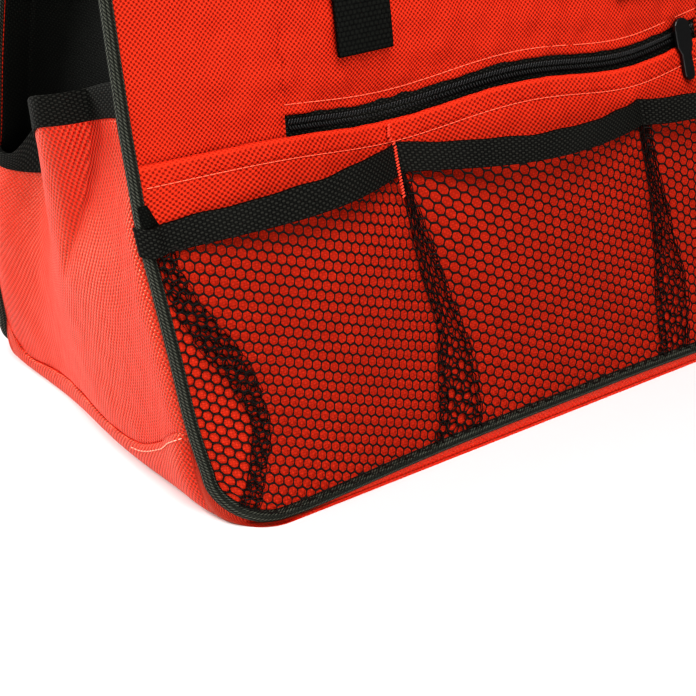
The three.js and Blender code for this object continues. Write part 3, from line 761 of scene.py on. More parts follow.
def canvas_finish(name, dark, light, pitches, sink, relief, roughness, specular):
    """Coated plain weave: level cloth with a small hollow at every crossing where the weft is on top.

    The hollow follows the product of two sines where that is below zero, and the gaps between the
    threads follow its root. The colour follows this relief as painted light: hollows and gaps darker
    as painted shade, tops lighter as painted highlights. The cloth is lighter where its painted-light
    attribute rises and darker where it falls below zero, and its hollows are shallower where its
    smooth attribute rises.
    """
    material, tree, shader = new_finish(name, roughness, specular)
    shader.inputs["Specular Tint"].default_value = (1.0, 0.9, 0.5, 1)
    product, pillow, uneven = weave(tree, pitches)
    below = calc(tree, "MAXIMUM", calc(tree, "MULTIPLY", product, -1.0), 0.0)
    depth = calc(tree, "MULTIPLY_ADD", point_value(tree, "smooth"), 0.8 * sink, -sink)
    hollow = calc(tree, "MULTIPLY_ADD", calc(tree, "POWER", below, 0.6), depth, 1.0)
    height = calc(tree, "MULTIPLY", calc(tree, "MULTIPLY_ADD", pillow, 0.3, 0.7), hollow)
    # Painted highlight and painted shade set on the pieces raise or lower the tone
    uneven = calc(tree, "MULTIPLY_ADD", point_value(tree, "painted_light"), 0.42, uneven)
    # Painted light: the tone rises with the relief, shade in the hollows and highlights on the tops
    tone = calc(tree, "MULTIPLY_ADD", height, 1.35, calc(tree, "SUBTRACT", uneven, 0.52))
    colour_between(tree, shader, tone, dark, light)
    raise_surface(tree, shader, height, 0.9, relief)
    return material


def ribbed_finish(name, dark, light, rib, thread, roughness):
    """Ribs across a tape, each crossed by fine threads that break it into short grains."""
    material, tree, shader = new_finish(name, roughness, MATT_SPECULAR)
    vector, length, girth = cloth_axes(tree)
    ribs = calc(tree, "ABSOLUTE", wave(tree, length, rib))
    offset = calc(tree, "MULTIPLY", calc(tree, "FLOOR", calc(tree, "DIVIDE", length, rib)), np.pi / 2)
    angle = calc(tree, "MULTIPLY_ADD", girth, np.pi / thread, offset)
    grains = calc(tree, "ABSOLUTE", calc(tree, "SINE", angle))
    height = calc(tree, "POWER", calc(tree, "MULTIPLY", ribs, grains), 0.6)
    cloudy = patches(tree, vector, 0.4)
    # Painted light: the tone rises with the height of the grains, highlights on them, shade between
    tone = calc(tree, "MULTIPLY_ADD", cloudy, 0.5, calc(tree, "MULTIPLY_ADD", height, 0.8, -0.25))
    colour_between(tree, shader, tone, dark, light)
    raise_surface(tree, shader, height, 0.6, 0.4)
    return material


def twill_finish(name, dark, light, pitch, roughness):
    """Herringbone: slanting threads whose slant turns over at every second pitch round the cord."""
    material, tree, shader = new_finish(name, roughness, MATT_SPECULAR)
    vector, length, girth = cloth_axes(tree)
    folded = calc(tree, "PINGPONG", girth, 2 * pitch)
    slant = calc(tree, "MULTIPLY_ADD", folded, 1.1, length)
    threads = calc(tree, "ABSOLUTE", wave(tree, slant, pitch))
    cross = calc(tree, "ABSOLUTE", wave(tree, girth, pitch))
    height = calc(tree, "POWER", calc(tree, "MULTIPLY", threads, calc(tree, "ADD", cross, 0.3)), 1.3)
    cloudy = patches(tree, vector, 0.5)
    # Painted light: the tone rises with the threads' height, highlights on them and shade between
    tone = calc(tree, "MULTIPLY_ADD", cloudy, 0.4, calc(tree, "MULTIPLY_ADD", height, 0.9, -0.25))
    colour_between(tree, shader, tone, dark, light)
    raise_surface(tree, shader, height, 0.8, 0.6)
    return material


def yarn_finish(name, dark, light, roughness, specular=0.5):
    """Twisted yarn or moulded thread: fine uneven tone with a light bump."""
    material, tree, shader = new_finish(name, roughness, specular)
    place = tree.nodes.new("ShaderNodeTexCoord")
    grain = patches(tree, place.outputs["Object"], 900.0, 2.0)
    colour_between(tree, shader, grain, dark, light)
    raise_surface(tree, shader, grain, 0.3, 0.15)
    return material


RED_DARK, RED_LIGHT = (0.1, 0.001, 0.001), (0.68, 0.046, 0.018)
# Lit copy of the red cloth for the ends and the base: its colours set for the lit ends, painted light
LIT_END_DARK, LIT_END_LIGHT = (0.26, 0.001, 0.001), (0.71, 0.014, 0.004)
BLACK_DARK, BLACK_LIGHT = (0.001, 0.001, 0.001), (0.016, 0.017, 0.014)
RED_CLOTH = canvas_finish("Red woven cloth", RED_DARK, RED_LIGHT, (1.45, 1.2), 0.75, 0.7, 0.6, 0.15)
LIT_END_CLOTH = canvas_finish("Red end cloth", LIT_END_DARK, LIT_END_LIGHT, (1.45, 1.2), 0.8, 1.1, 0.44, 0.8)
BLACK_CLOTH = woven_finish("Black woven cloth", BLACK_DARK, BLACK_LIGHT, (1.2, 1.2), 0.5,
                           0.7, 0.08)
TAPE_FINISH = woven_finish("Black woven tape", BLACK_DARK, (0.034, 0.034, 0.029), (1.72, 1.0), 0.7,
                           0.65, 0.08)
WEBBING_FINISH = ribbed_finish("Black webbing", BLACK_DARK, BLACK_LIGHT, 2.2, 2.4, 0.65)
# The piping's light tone is the painted highlight on its raised threads
PIPING_DARK, PIPING_LIGHT = (0.008, 0.009, 0.007), (0.105, 0.109, 0.088)
PIPING_FINISH = twill_finish("Black piping cover", PIPING_DARK, PIPING_LIGHT, 1.7, 0.6)
NET_FINISH = yarn_finish("Black net yarn", (0.003, 0.002, 0.002), (0.022, 0.013, 0.01), 0.5, 0.2)
ZIP_FINISH = yarn_finish("Black zip coil", (0.003, 0.003, 0.003), (0.016, 0.016, 0.016), 0.35, 0.4)
ENAMEL = yarn_finish("Black enamel", (0.006, 0.006, 0.006), (0.01, 0.01, 0.01), 0.3)
TACK_THREAD = yarn_finish("Red bar tack", (0.55, 0.03, 0.015), (0.95, 0.13, 0.07), 0.55, 0.2)
RED_THREAD = yarn_finish("Red thread", (0.9, 0.1, 0.05), (1.0, 0.28, 0.17), 0.55, 0.3)
# Lit copy of the red thread for the end seams: painted highlight of the key lamp
LIT_SEAM_THREAD = yarn_finish("Pale red thread", (0.95, 0.3, 0.2), (1.0, 0.5, 0.4), 0.55, 0.3)


# Front and back

PANEL_SLACK, UPPER_SLACK, UPPER_SHIFT = 0.8, 1.2, 40
SEWN_DEEP, SEWN_WIDE, HEM_PROUD = 0.55, 1.1, 0.45
PUCKER_TALL, PUCKER_PITCH, PUCKER_DRIFT, PUCKER_WIDE = 0.3, 9.3, 17, 5
# Painted highlight on the fold's top and round, and painted shade on the cloth behind the net
FOLD_HIGHLIGHT_TO, NET_SHADE_PAINTED = (1.2, 2.4), 0.52


def make_front():
    """Lower front: a hem sewn below its upper edge, which rolls back over a round of a third turn.

    The seam is a narrow hump pressed in, the hem above it stands out, and the cloth puckers along it
    as a sine. The fold is painted lighter, a painted highlight on its top and round; behind the net
    the cloth is smoother and painted darker, as the net's shade.
    """
    shares = np.concatenate([np.linspace(0, 0.86, 64, endpoint=False), np.linspace(0.86, 1, 30)])
    x, z = panel_grid(160, 18, shares, HIDDEN_EDGE, lambda at: fold_top(at) - FOLD_ROUND)
    below = fold_top(x) - z
    sewn = SEWN_DEEP * hump(below - FOLD_HEM, SEWN_WIDE)
    hem = HEM_PROUD * (1 - ease(below, FOLD_HEM - 2.5, FOLD_HEM + 0.5))
    pucker = PUCKER_TALL * np.sin(2 * np.pi * x / PUCKER_PITCH + np.sin(x / PUCKER_DRIFT))
    pucker = pucker * hump(below - FOLD_HEM, PUCKER_WIDE)
    away = 1 - ease(np.abs(x) / half_length(z), 0.9, 1.0)
    y = front_y(x, z) + (sewn - hem + pucker) * away + slack_at(x, z, PANEL_SLACK)
    roll = np.linspace(0, FOLD_TURN, 11)[1:, None]
    # Painted highlight: the top of the fold and all of its round are painted lighter
    painted_light = np.vstack([1 - ease(below, *FOLD_HIGHLIGHT_TO), 1 + 0 * x[-1:] + 0 * roll])
    x = np.vstack([x, x[-1:] + 0 * roll])
    y = np.vstack([y, y[-1:] + FOLD_ROUND * (1 - np.cos(roll))])
    z = np.vstack([z, z[-1:] + FOLD_ROUND * np.sin(roll)])
    piece = cloth_piece("front_cloth", stack(x, y, z), RED_CLOTH, "red_cloth", ["front_panel"])
    covered = 1 - ease(z - tape_low(x), 0, TAPE_TALL / 2)
    # Painted light: the fold's painted highlight, less painted shade on the cloth behind the net
    point_values(piece, "painted_light", painted_light - NET_SHADE_PAINTED * covered)
    point_values(piece, "smooth", covered)


UPPER_DEEPER, UPPER_SIDES, UPPER_RISE = 1.2, (150, 200), (2, 30)


def upper_depth(x, z):
    """Depth of the upper front behind the lower one: tucked in at the fold, even with it above."""
    between = 1 - ease(np.abs(x), *UPPER_SIDES)
    return mix(TUCK + UPPER_DEEPER * between, GAP, ease(z - fold_top(x), *UPPER_RISE))


UPPER_WEAVE, SLOT_FOLD, SLOT_SEWN = (1.28, 1.1), 1.2, 0.4


def make_upper_front():
    """Upper front: its lower edge drops behind the fold beside the zip, and folds over the zip."""
    end = ZIP_HALF / (half_length(FOLD) - SEAM)
    side = np.linspace(end + 0.003, 1, 26)
    share = np.concatenate([-side[::-1], np.linspace(-end, end, 100), side])[None, :]
    climb = np.concatenate([[0, 0.004, 0.01], np.linspace(0.02, 1, 60)])[:, None]
    over_zip = np.abs(share) <= end
    low = fold_top(share * (half_length(FOLD) - SEAM)) + np.where(over_zip, ZIP_SLOT, ZIP_LOW)
    z = mix(low, CLOTH_TOP, climb)
    x = share * (half_length(z) - HIDDEN_EDGE)
    fold_in = over_zip * SLOT_FOLD * (1 - ease(z - low, -0.3, 1.4)) ** 1.5
    sewn = over_zip * SLOT_SEWN * hump(z - low - ZIP_STITCH, 1.0)
    slack = slack_at(x, z, UPPER_SLACK, UPPER_SHIFT)
    y = front_y(x, z) + upper_depth(x, z) + fold_in + sewn + slack
    uv = np.stack([x, z], -1) * UPPER_WEAVE
    piece = cloth_piece("front_upper_cloth", stack(x, y, z), RED_CLOTH, "red_cloth",
                        ["front_upper_panel"], uv=uv)


def make_back():
    """Back: one plain panel from the bottom piping to the rim."""
    x, z = panel_grid(120, 18, np.linspace(0, 1, 80), HIDDEN_EDGE, lambda at: CLOTH_TOP + 0 * at)
    y = half_depth(x, z) + slack_at(x, z, PANEL_SLACK)
    piece = cloth_piece("back_cloth", stack(x, y, z), RED_CLOTH, "red_cloth", ["back_panel"],
                        flip=True)


OVER_PIPING, OVER_FROM = 2.6, (198, 205)
TURNED_BACK, TURNED_FROM = 5.5, (207, 211.5)


def binding_point(x, v, w):
    """Point of the pocket tape: v from its lower to its upper edge, w from back to front.

    Its ends step over the piping and then turn back beside it.
    """
    z = mix(tape_low(x), tape_top(x), v)
    off = POCKET_GAP + pocket_bulge(x, 1 + TAPE_LEAN * np.clip(v, 0, 1))
    off = off + OVER_PIPING * ease(np.abs(x), *OVER_FROM) - TURNED_BACK * ease(np.abs(x), *TURNED_FROM)
    return stack(x, front_y(x, z) - off - w * TAPE_THICK, z)


def make_binding():
    """Pocket tape from end to end, its upper edge a little wavy by two sines."""
    x = np.linspace(-TAPE_END, TAPE_END, 440)[:, None]
    v, w, section = rounded_section(TAPE_TALL, TAPE_THICK, 0.8, 5)
    wavy = 0.02 * np.sin(x / 6.1) + 0.015 * np.sin(x / 3.7 + 1)
    points = binding_point(x, v[None] + wavy * (v[None] > 0.5), w[None])
    strap_piece("pocket_tape", points, section, TAPE_FINISH, "black_tape", ["pocket_binding"])


FLAP_OUTER, FLAP_INNER, FLAP_HEIGHTS = 208.5, (198.5, 204.5), (132.5, 144)
FLAP_OFF, FLAP_PROUD, FLAP_STEP = 0.5, 2.9, (199.5, 205.5)


def make_flaps():
    """Black flap above each end of the tape, beside the piping and narrower towards its top."""
    up = np.linspace(0, 1, 14)[:, None]
    across = np.linspace(0, 1, 14)[None, :]
    for name, mirror in (("left", -1), ("right", 1)):
        x = mix(FLAP_OUTER, mix(*FLAP_INNER, up), across)
        z = mix(*FLAP_HEIGHTS, up) + 0 * across
        y = front_y(x, z) - FLAP_OFF - FLAP_PROUD * ease(x, *FLAP_STEP)
        points = stack(mirror * x, y, z)
        piece = cloth_piece(f"tape_flap_{name}", points, BLACK_CLOTH, "black_tape", [],
                            flip=mirror > 0, thick=THIN_CLOTH)


def piping_path(side_y):
    """Line of the piping: down the left side, round the corners and up the right side."""
    z = np.linspace(CLOTH_TOP, CORNER_TOP, 130, endpoint=False)
    turn = np.linspace(0, 1, 40)
    corner_x, corner_z = corner_point(turn, 0)
    right_x = np.concatenate([half_length(z), corner_x])
    right_z = np.concatenate([z, corner_z])
    bottom_x = np.linspace(-corner_x[-1], corner_x[-1], 220)[1:-1]
    bottom_z = CORNER_TOP - CORNER_TALL + bottom_lift(bottom_x)
    x = np.concatenate([-right_x, bottom_x, right_x[::-1]])
    z = np.concatenate([right_z, bottom_z, right_z[::-1]])
    return stack(x, side_y(x, z), z)


PIPING_SIDES = 20


def make_pipings():
    """Round cords along the edges of the front and the back."""
    for name, side_y, facing in (("front", front_y, -1), ("back", half_depth, 1)):
        path = piping_path(side_y)
        points = tube_points(path, PIPING_RADIUS, PIPING_SIDES, [0.0, facing, 0.0])
        angle = np.linspace(0, 2 * np.pi, PIPING_SIDES, endpoint=False)
        section = PIPING_RADIUS * np.stack([np.cos(angle), np.sin(angle)], -1)
        strap_piece(f"piping_cover_{name}", points, section, PIPING_FINISH, "black_piping",
                    [f"piping_{name}"])


TOOTH_PITCH, TOOTH_UP, TOOTH_SLANT, TOOTH_PROUD = 1.6, 1.55, 0.55, 0.9
TOOTH_LONG, TOOTH_RADIUS = 3.3, 0.72


def make_zip():
    """Zip: a woven tape behind the slot, with two rows of slanted coil teeth on it."""
    x = np.linspace(-ZIP_HALF - 1, ZIP_HALF + 1, 160)[:, None]
    tall = ZIP_HIGH - ZIP_LOW - 1
    v, w, section = rounded_section(tall, ZIP_THICK, 0.4, 3)
    z = fold_top(x) + ZIP_LOW + 1 + tall * v[None]
    back = TUCK + CLOTH + GAP
    points = stack(x, front_y(x, z) + back + ZIP_THICK * (1 - w[None]), z)
    section = section * [(tall + 1) / tall, 1.0]
    strap_piece("zip_tape", points, section, TAPE_FINISH, "black_zip", ["front_zip"])
    place = np.arange(-ZIP_HALF + 1, ZIP_HALF - 1, TOOTH_PITCH)
    rows = []
    for side, shift in ((1, 0.0), (-1, TOOTH_PITCH / 2)):
        tooth_x = place + shift
        tooth_z = fold_top(tooth_x) + ZIP_COIL + side * TOOTH_UP
        centre = stack(tooth_x, front_y(tooth_x, tooth_z) + back - TOOTH_PROUD, tooth_z)
        direction = [side * TOOTH_SLANT, 0.0, 1.0]
        rows.append(beads(centre, direction, OUTWARDS, TOOTH_LONG, TOOTH_RADIUS))
    make_piece("zip_coil", *joined(rows), ZIP_FINISH, "black_zip")


# Ends and base

END_SEAM_LAP, END_RIM_LAP, END_TUCK = 5, 3, 1.2
# The last number is how much painted shade darkens the end past its ridge
END_HALF_DEEP, END_SLACK, END_SMOOTH, END_SHADE_PAINTED = 90, 0.3, 0.6, 0.75


def make_end_pocket(name, mirror):
    """Slack end pocket from below its seam to behind its tape, smoother and in painted shade past its
    ridge.
    """
    at = np.linspace(-1, 1, 190)[None, :]
    climb = np.linspace(0, 1, 76)[:, None]
    seam, rim = along(END_EDGES, "seam", at), along(END_EDGES, "rim", at)
    z = mix(seam - END_SEAM_LAP, rim + END_RIM_LAP, climb)
    slack = ripple(at * END_HALF_DEEP, z, END_SLACK) * (1 - ease(np.abs(at), 0.85, 1.0))
    tucked = END_TUCK * (1 - ease(z, seam - 1, seam + 2))
    points = end_point(at, z, tucked - slack, HIDDEN_EDGE) * np.array([mirror, 1.0, 1.0])
    across, up = np.moveaxis(sheet_lengths(points), -1, 0)
    uv = np.stack([up, across - across[:, :1]], -1)
    piece = cloth_piece(f"end_pocket_cloth_{name}", points, LIT_END_CLOTH, "red_cloth",
                        [f"end_pocket_{name}"], flip=mirror > 0, uv=uv)
    smooth = END_SMOOTH * ease(at - along(END_FOLDS, "ridge_at", z), 0.05, 0.6)
    point_values(piece, "smooth", smooth)
    # Painted shade on the far side of the ridge
    point_values(piece, "painted_light", -END_SHADE_PAINTED * smooth)


def make_end_tape(name, mirror):
    """Tape along the end pocket's rim, of the height that its table gives."""
    v, w, section = rounded_section(END_TAPE_TALL, END_TAPE_THICK, 0.8, 5)
    at = np.linspace(-1, 1, 150)[:, None]
    z = along(END_EDGES, "rim", at) + GAP + along(END_TAPE_HEIGHTS, "tall", at) * v[None]
    depth = END_TAPE_THICK * (1 - w[None]) - END_TAPE_PROUD
    points = end_point(at, z, depth, HIDDEN_EDGE) * np.array([mirror, 1.0, 1.0])
    strap_piece(f"end_tape_{name}", points, section, TAPE_FINISH, "black_tape",
                [f"end_binding_{name}"], flip=mirror > 0)


LINING_SHARE, LINING_RISE, LINING_SHORT = 0.5, (45, 75), 3
WALL_CORNER_FADE, WALL_TUCK_FADE = (8, 70), (12, 34)


def make_end_wall(name, mirror):
    """Black end wall behind the slack pocket, bowed in towards the mouth as a square of the height.

    Past its two side seams the cloth turns outwards and lines the front and the back.
    """
    lining = np.linspace(1, 1 + LINING_SHARE, 9)[1:]
    walk = np.concatenate([-lining[::-1], np.linspace(-1, 1, 50), lining])[None, :]
    at = np.clip(walk, -1, 1)
    z = np.linspace(END_WALL_FOOT, CLOTH_TOP, 60)[:, None]
    x = half_length(z) - END_WALL_INSET - END_WALL_BOW * (z / RIM) ** 2 * (1 - at * at)
    turned = ease(z, *LINING_RISE) * (np.abs(walk) - np.abs(at)) / LINING_SHARE
    x = x + turned * (END_WALL_INSET - LINING_SHORT)
    cornered = END_WALL_CORNER * (1 - ease(z, *WALL_CORNER_FADE))
    tucked = TUCK * (1 - ease(np.abs(z - FOLD), *WALL_TUCK_FADE)) * (at < 0)
    reach = half_depth(x, z) - CLOTH - 2 * GAP - cornered - tucked
    points = stack(-mirror * x, at * reach, z)
    piece = cloth_piece(f"end_wall_cloth_{name}", points, BLACK_CLOTH, "black_cloth",
                        [f"end_wall_{name}"], flip=mirror > 0, thick=THIN_CLOTH)


def make_end_rim(name, mirror):
    """Tape on the top edge of the end wall, with the same bow."""
    v, w, section = rounded_section(RIM_TAPE_TALL, RIM_TAPE_THICK, 1.0, 5)
    at = np.linspace(-1, 1, 60)[:, None]
    x = half_length(RIM) - END_WALL_INSET - END_WALL_BOW * (1 - at * at)
    x = x + RIM_TAPE_PROUD - (1 - w[None]) * RIM_TAPE_THICK
    reach = half_depth(x, RIM) - 2 * RIM_TAPE_THICK
    points = stack(-mirror * x, at * reach, RIM + GAP + RIM_TAPE_TALL * v[None])
    strap_piece(f"rim_binding_{name}", points, section, TAPE_FINISH, "black_tape",
                [f"rim_tape_{name}"], flip=mirror > 0)


def make_ends():
    """Both ends; the right one is the mirror image of the left one."""
    for name, mirror in (("left", 1), ("right", -1)):
        make_end_pocket(name, mirror)
        make_end_tape(name, mirror)
        make_end_wall(name, mirror)
        make_end_rim(name, mirror)


def make_rims():
    """Tapes on the top edges of the front and the back."""
    x = np.linspace(-1, 1, 160)[:, None] * (half_length(RIM) - SEAM)
    v, w, section = rounded_section(RIM_TAPE_TALL, RIM_TAPE_THICK, 1.0, 5)
    z = RIM + GAP + RIM_TAPE_TALL * v[None]
    depth = (1 - w[None]) * RIM_TAPE_THICK - RIM_TAPE_PROUD
    front = stack(x, front_y(x, RIM) + GAP + depth, z)
    strap_piece("rim_binding_front", front, section, TAPE_FINISH, "black_tape", ["rim_tape_front"])
    back = stack(x, half_depth(x, RIM) - depth, z)
    strap_piece("rim_binding_back", back, section, TAPE_FINISH, "black_tape", ["rim_tape_back"],
                flip=True)


BASE_PROUD, BASE_LAP, BASE_MEAN = 0.5, 1.2, 130.0
STRIP_SMOOTH, STRIP_ENDS = 0.7, (165, 195)


def base_quarter(facing):
    """Floor outline and upper edge from the middle of a long side to the middle of an end."""
    side_y = front_y if facing < 0 else half_depth
    start_x = half_length(CORNER_TOP) - CORNER_WIDE
    share = np.linspace(0, 1, 40, endpoint=False)
    x = start_x * share
    z = CORNER_TOP - CORNER_TALL - SEAM + BASE_LAP + bottom_lift(x)
    straight_floor = stack((BASE_LONG - BASE_CORNER) * share, facing * BASE_DEEP + 0 * share, 0 * x)
    straight_edge = stack(x, side_y(x, z), z)
    turn = np.linspace(0, 1, 26, endpoint=False)
    angle = turn * np.pi / 2
    corner_floor = stack(BASE_LONG - BASE_CORNER * (1 - np.sin(angle)),
                         facing * (BASE_DEEP - BASE_CORNER * (1 - np.cos(angle))), 0 * turn)
    seam = float(along(END_EDGES, "seam", facing))
    edge_x, edge_z = corner_point(1 - turn, -SEAM - GAP + BASE_LAP)
    edge_z = edge_z + max(seam - CORNER_TOP, 0) * turn**3
    drift = float(half_length(seam) - half_length(CORNER_TOP)) - SEAM
    edge_x = edge_x + (drift + BASE_PROUD) * turn**3
    edge_y = side_y(edge_x, edge_z) - facing * SEAM * turn
    corner_edge = stack(edge_x, edge_y, edge_z)
    share = np.linspace(0, 1, 60)
    at = facing * (1 - share)
    end_z = along(END_EDGES, "seam", at)
    end_edge = end_point(at, end_z, -BASE_PROUD) * np.array([-1.0, 1.0, 1.0])
    end_floor = stack(BASE_LONG + 0 * share, facing * (BASE_DEEP - BASE_CORNER) * (1 - share), 0 * at)
    return (np.concatenate([straight_floor, corner_floor, end_floor]),
            np.concatenate([straight_edge, corner_edge, end_edge]))


def base_outline():
    """The four quarters as one ring: front right, back right, back left and front left."""
    floors, edges = [], []
    left = np.array([-1.0, 1.0, 1.0])
    for facing, mirror, backwards in ((-1, 1, False), (1, 1, True), (1, -1, False), (-1, -1, True)):
        floor, edge = base_quarter(facing)
        if mirror < 0:
            floor, edge = floor * left, edge * left
        if backwards:
            floor, edge = floor[::-1], edge[::-1]
        floors.append(floor[:-1])
        edges.append(edge[:-1])
    return np.concatenate(floors), np.concatenate(edges)


def make_base():
    """Floor with turned-up sides: a quarter of an ellipse from the floor outline to the edge.

    The lining lies above the floor and inside the sides. The strip below the piping is smoother.
    """
    floor, edge = (np.roll(line, len(line) // 2, 0) for line in base_outline())
    count = len(floor)
    inner = np.linspace(0.001, 1, 15, endpoint=False)[:, None, None] * floor[None]
    rise = np.linspace(0, np.pi / 2, 16)[:, None, None]
    side = floor[None] + (edge - floor)[None] * np.sin(rise) * np.array([1.0, 1.0, 0.0])
    side[..., 2] = edge[None, :, 2] * (1 - np.cos(rise[..., 0]))
    outer = np.concatenate([inner, side])
    up = run_lengths(side)
    across = run_lengths(edge)[None] + 0 * up
    uv = np.concatenate([outer[:len(inner), :, :2], np.stack([up, across], -1)])
    upright = np.concatenate([np.zeros(len(inner)), np.sin(rise[:, 0, 0])])[:, None, None]
    lining = outer * (1 - CLOTH / BASE_MEAN * upright)
    lining = lining + CLOTH * (1 - upright) * np.array([0, 0, 1.0])
    lining[..., 2] = np.maximum(outer[..., 2], lining[..., 2])
    points = np.concatenate([outer, lining[::-1]])
    faces = grid_faces(len(points), count, ring=True)
    last = (len(points) - 1) * count + np.arange(count)
    first = np.arange(count)
    close = np.stack([last, np.roll(last, -1), np.roll(first, -1), first], -1)
    uv = np.concatenate([uv, uv[::-1]])
    piece = make_piece("base_cloth", points, np.concatenate([faces, close]), uv, LIT_END_CLOTH,
                       "red_cloth", ["base_panel"])
    point_values(piece, "smooth", STRIP_SMOOTH * (1 - ease(np.abs(points[..., 0]), *STRIP_ENDS)))


# Handles and stitches

HANDLE_OFF, HANDLE_STEP, HANDLE_FREE = 0.8, (RIM - 26, RIM - 4), RIM + RIM_TAPE_TALL + 4


def handle_points(along_share, v, w, side_y, facing):
    """Strap up one leg, over a half ellipse and down the other leg, leaning in over the mouth."""
    leg = HANDLE_TURN - HANDLE_FOOT
    arc = np.pi / 2 * HANDLE_SPREAD
    walk = along_share * (leg + arc)
    side = np.where(walk < 0, -1.0, 1.0)
    beyond = np.abs(walk) - arc
    angle = np.minimum(np.abs(walk) / HANDLE_SPREAD, np.pi / 2)
    ring = HANDLE_SPREAD + (v - 0.5) * HANDLE_WIDE
    x = side * ring * np.sin(angle)
    rise = (HANDLE_TOP - HANDLE_TURN) / HANDLE_SPREAD
    z = np.where(beyond > 0, HANDLE_TURN - beyond, HANDLE_TURN + rise * ring * np.cos(angle))
    off = GAP + RIM_TAPE_PROUD * ease(z, *HANDLE_STEP) + HANDLE_OFF
    sewn = side_y(x, np.minimum(z, RIM)) + facing * off
    lean = -facing * HANDLE_LEAN * np.maximum(z - HANDLE_FREE, 0)
    return stack(x, sewn + lean + facing * w * HANDLE_THICK, z)


def upper_y(x, z):
    """Y of the upper front's outer face above the zip."""
    return front_y(x, z) + GAP


def make_handles():
    """Webbing from rings of one section, each handle on its own side."""
    v, w, section = rounded_section(HANDLE_WIDE, HANDLE_THICK, 1.2, 5)
    walk = np.linspace(-1, 1, 240)[:, None]
    for name, side_y, facing in (("front", upper_y, -1), ("back", half_depth, 1)):
        points = handle_points(walk, v[None], w[None], side_y, facing)
        strap_piece(f"webbing_handle_{name}", points, section, WEBBING_FINISH, "black_webbing",
                    [f"handle_{name}"], flip=facing > 0)


TACK_PITCH, TACK_DRIFT, TACK_LONG, TACK_RADIUS, TACK_SLANT = 1.15, 7.5, 2.0, 0.56, (1.0, 0.0, 0.6)
TACK_OFF, TACK_OVER_TAPE, TACK_FALL, TACK_LIFT = 1.0, 0.6, 3, 0.3
TACK_BELOW_TAPE, TACK_BELOW_FOLD = 7, 0.6


def bar_tack(divider, low, high, tape_high):
    """Raised bar of thread laid across the tape, wound by slanting stitches close together."""
    z = np.arange(low, high, TACK_PITCH)
    x = divider - TACK_DRIFT * (high - z) / (high - low)
    tape = TAPE_THICK + TACK_OVER_TAPE + pocket_bulge(x, np.ones_like(z))
    over = tape * (1 - ease(z, tape_high, tape_high + TACK_FALL))
    centre = on_front(x, z, TACK_OFF + over, np.full_like(z, TACK_LIFT))
    return beads(centre, TACK_SLANT, OUTWARDS, TACK_LONG, TACK_RADIUS)


FOLD_ROW_HALF, ZIP_ROW_HALF, SEAM_ROW_DROP = 202, 128, 3.4


def make_stitches():
    """Rows below the fold, above the zip and below the end seams, and the bar tack."""
    x = np.linspace(-FOLD_ROW_HALF, FOLD_ROW_HALF, 400)
    z = fold_top(x) - FOLD_HEM
    fold_row = row_of_stitches(stack(x, front_y(x, z) - 0.1, z), OUTWARDS)
    x = np.linspace(-ZIP_ROW_HALF, ZIP_ROW_HALF, 300)
    z = fold_top(x) + ZIP_SLOT + ZIP_STITCH
    zip_row = row_of_stitches(stack(x, front_y(x, z) + upper_depth(x, z) + 0.1, z), OUTWARDS)
    high = float(tape_top(np.array(-DIVIDER)))
    low = high - TAPE_TALL - TACK_BELOW_TAPE
    tack = bar_tack(-DIVIDER, low, fold_top(-DIVIDER) - TACK_BELOW_FOLD, high)
    seams = []
    for mirror in (1, -1):
        at = np.linspace(-0.98, -0.4, 90)
        seam = along(END_EDGES, "seam", at)
        path = end_point(at, seam, -BASE_PROUD - 0.2) * np.array([mirror, 1.0, 1.0])
        path[:, 2] -= SEAM_ROW_DROP
        outward = np.array([-mirror * 0.96, 0.0, 0.28])
        seams.append(row_of_stitches(path, outward, length=2.6, radius=0.3))
    make_piece("red_stitches", *joined([fold_row, zip_row]), RED_THREAD, "red_cloth")
    # The end seams' thread is painted lighter, as a highlight
    make_piece("seam_stitches", *joined(seams), LIT_SEAM_THREAD, "red_cloth")
    make_piece("red_tack", *tack, TACK_THREAD, "red_cloth")


def finish_slider():
    """Black enamel on the slider, which keeps its solid's shape."""
    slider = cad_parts["zip_slider"]
    slider.data.materials.clear()
    slider.data.materials.append(ENAMEL)


# Studio

# Lamps: name, place and size in metres, and power in watts
LAMPS = [("key", (-1.1, 1.2, 0.85), 0.8, 32.0), ("top", (-0.3, -1.1, 2.0), 1.8, 44.0),
         ("fill", (-0.75, -1.55, 0.35), 0.8, 8.0)]
LAMP_AIM = (-0.05, -0.05, 0.1)
SKY_STRENGTH = 0.16
# Camera: place in millimetres, angles in degrees round from the front and up, and focal length in pixels
CAMERA_PLACE, CAMERA_ROUND, CAMERA_UP = (-534.7, -651.3, 414.8), -36.7, 26.9
PHOTO_SIDE, FOCAL_PIXELS, SENSOR_WIDE = 696, 1725, 36.0


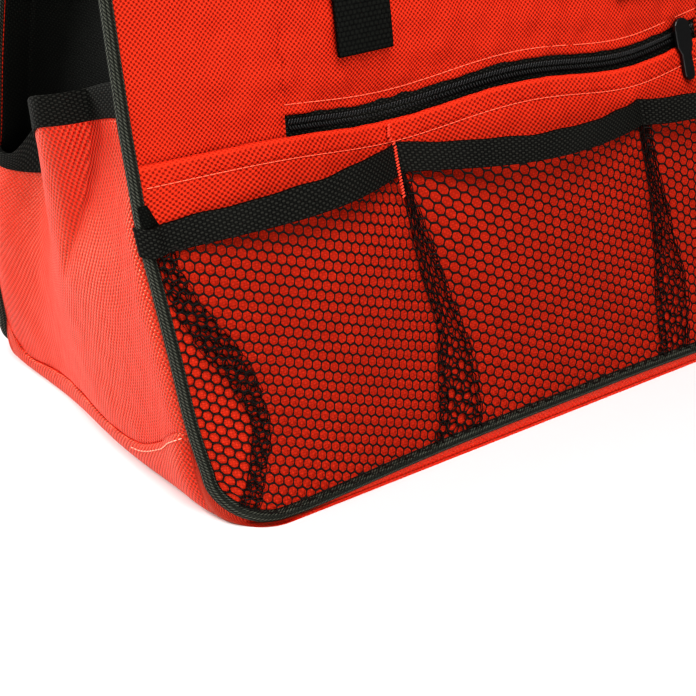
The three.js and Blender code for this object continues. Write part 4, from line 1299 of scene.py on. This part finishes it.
def make_studio():
    """Pale floor, even white surroundings and round lamps that face the bag."""
    floor_mesh = bpy.data.meshes.new("floor")
    reach = 6.0
    corners = [(-reach, -reach, 0), (reach, -reach, 0), (reach, reach, 0), (-reach, reach, 0)]
    floor_mesh.from_pydata(corners, [], [(0, 1, 2, 3)])
    material, _, shader = new_finish("Pale floor", 0.9, 0.1)
    shader.inputs["Base Color"].default_value = (0.8, 0.8, 0.8, 1)
    floor_mesh.materials.append(material)
    floor = bpy.data.objects.new("floor", floor_mesh)
    bpy.context.scene.collection.objects.link(floor)
    world = bpy.data.worlds.new("Studio")
    world.use_nodes = True
    background = world.node_tree.nodes["Background"]
    background.inputs["Color"].default_value = (1, 1, 1, 1)
    background.inputs["Strength"].default_value = SKY_STRENGTH
    bpy.context.scene.world = world
    for name, place, size, power in LAMPS:
        lamp = bpy.data.lights.new(name, "AREA")
        lamp.shape = "DISK"
        lamp.size = size
        lamp.energy = power
        holder = bpy.data.objects.new(name, lamp)
        holder.matrix_world = facing_matrix(place, np.subtract(place, LAMP_AIM))
        bpy.context.scene.collection.objects.link(holder)
    bpy.context.scene.view_settings.view_transform = "Standard"
    bpy.context.scene.view_settings.look = "High Contrast"


def facing_matrix(place, back):
    """Matrix of a camera or lamp at a place, whose own Z axis points back."""
    back = np.asarray(back, float) / np.linalg.norm(back)
    right = np.cross([0, 0, 1], back)
    right /= np.linalg.norm(right)
    up = np.cross(back, right)
    matrix = np.eye(4)
    matrix[:3, :3] = np.stack([right, up, back], -1)
    matrix[:3, 3] = place
    return Matrix(matrix.tolist())


def make_camera():
    """Camera at the photograph's place and angle, with its focal length."""
    azimuth, elevation = np.radians(CAMERA_ROUND), np.radians(CAMERA_UP)
    back = (np.sin(azimuth) * np.cos(elevation), -np.cos(azimuth) * np.cos(elevation),
            np.sin(elevation))
    data = bpy.data.cameras.new("photo view")
    data.sensor_width = SENSOR_WIDE
    data.lens = SENSOR_WIDE * FOCAL_PIXELS / PHOTO_SIDE
    data.clip_start = 0.01
    camera = bpy.data.objects.new("photo view", data)
    camera.matrix_world = facing_matrix(np.array(CAMERA_PLACE) * MM, back)
    bpy.context.scene.collection.objects.link(camera)
    bpy.context.scene.camera = camera


make_camera()
make_studio()
make_front()
make_upper_front()
make_back()
make_binding()
make_flaps()
make_nets()
make_pipings()
make_zip()
make_ends()
make_rims()
make_base()
make_handles()
make_stitches()
finish_slider()
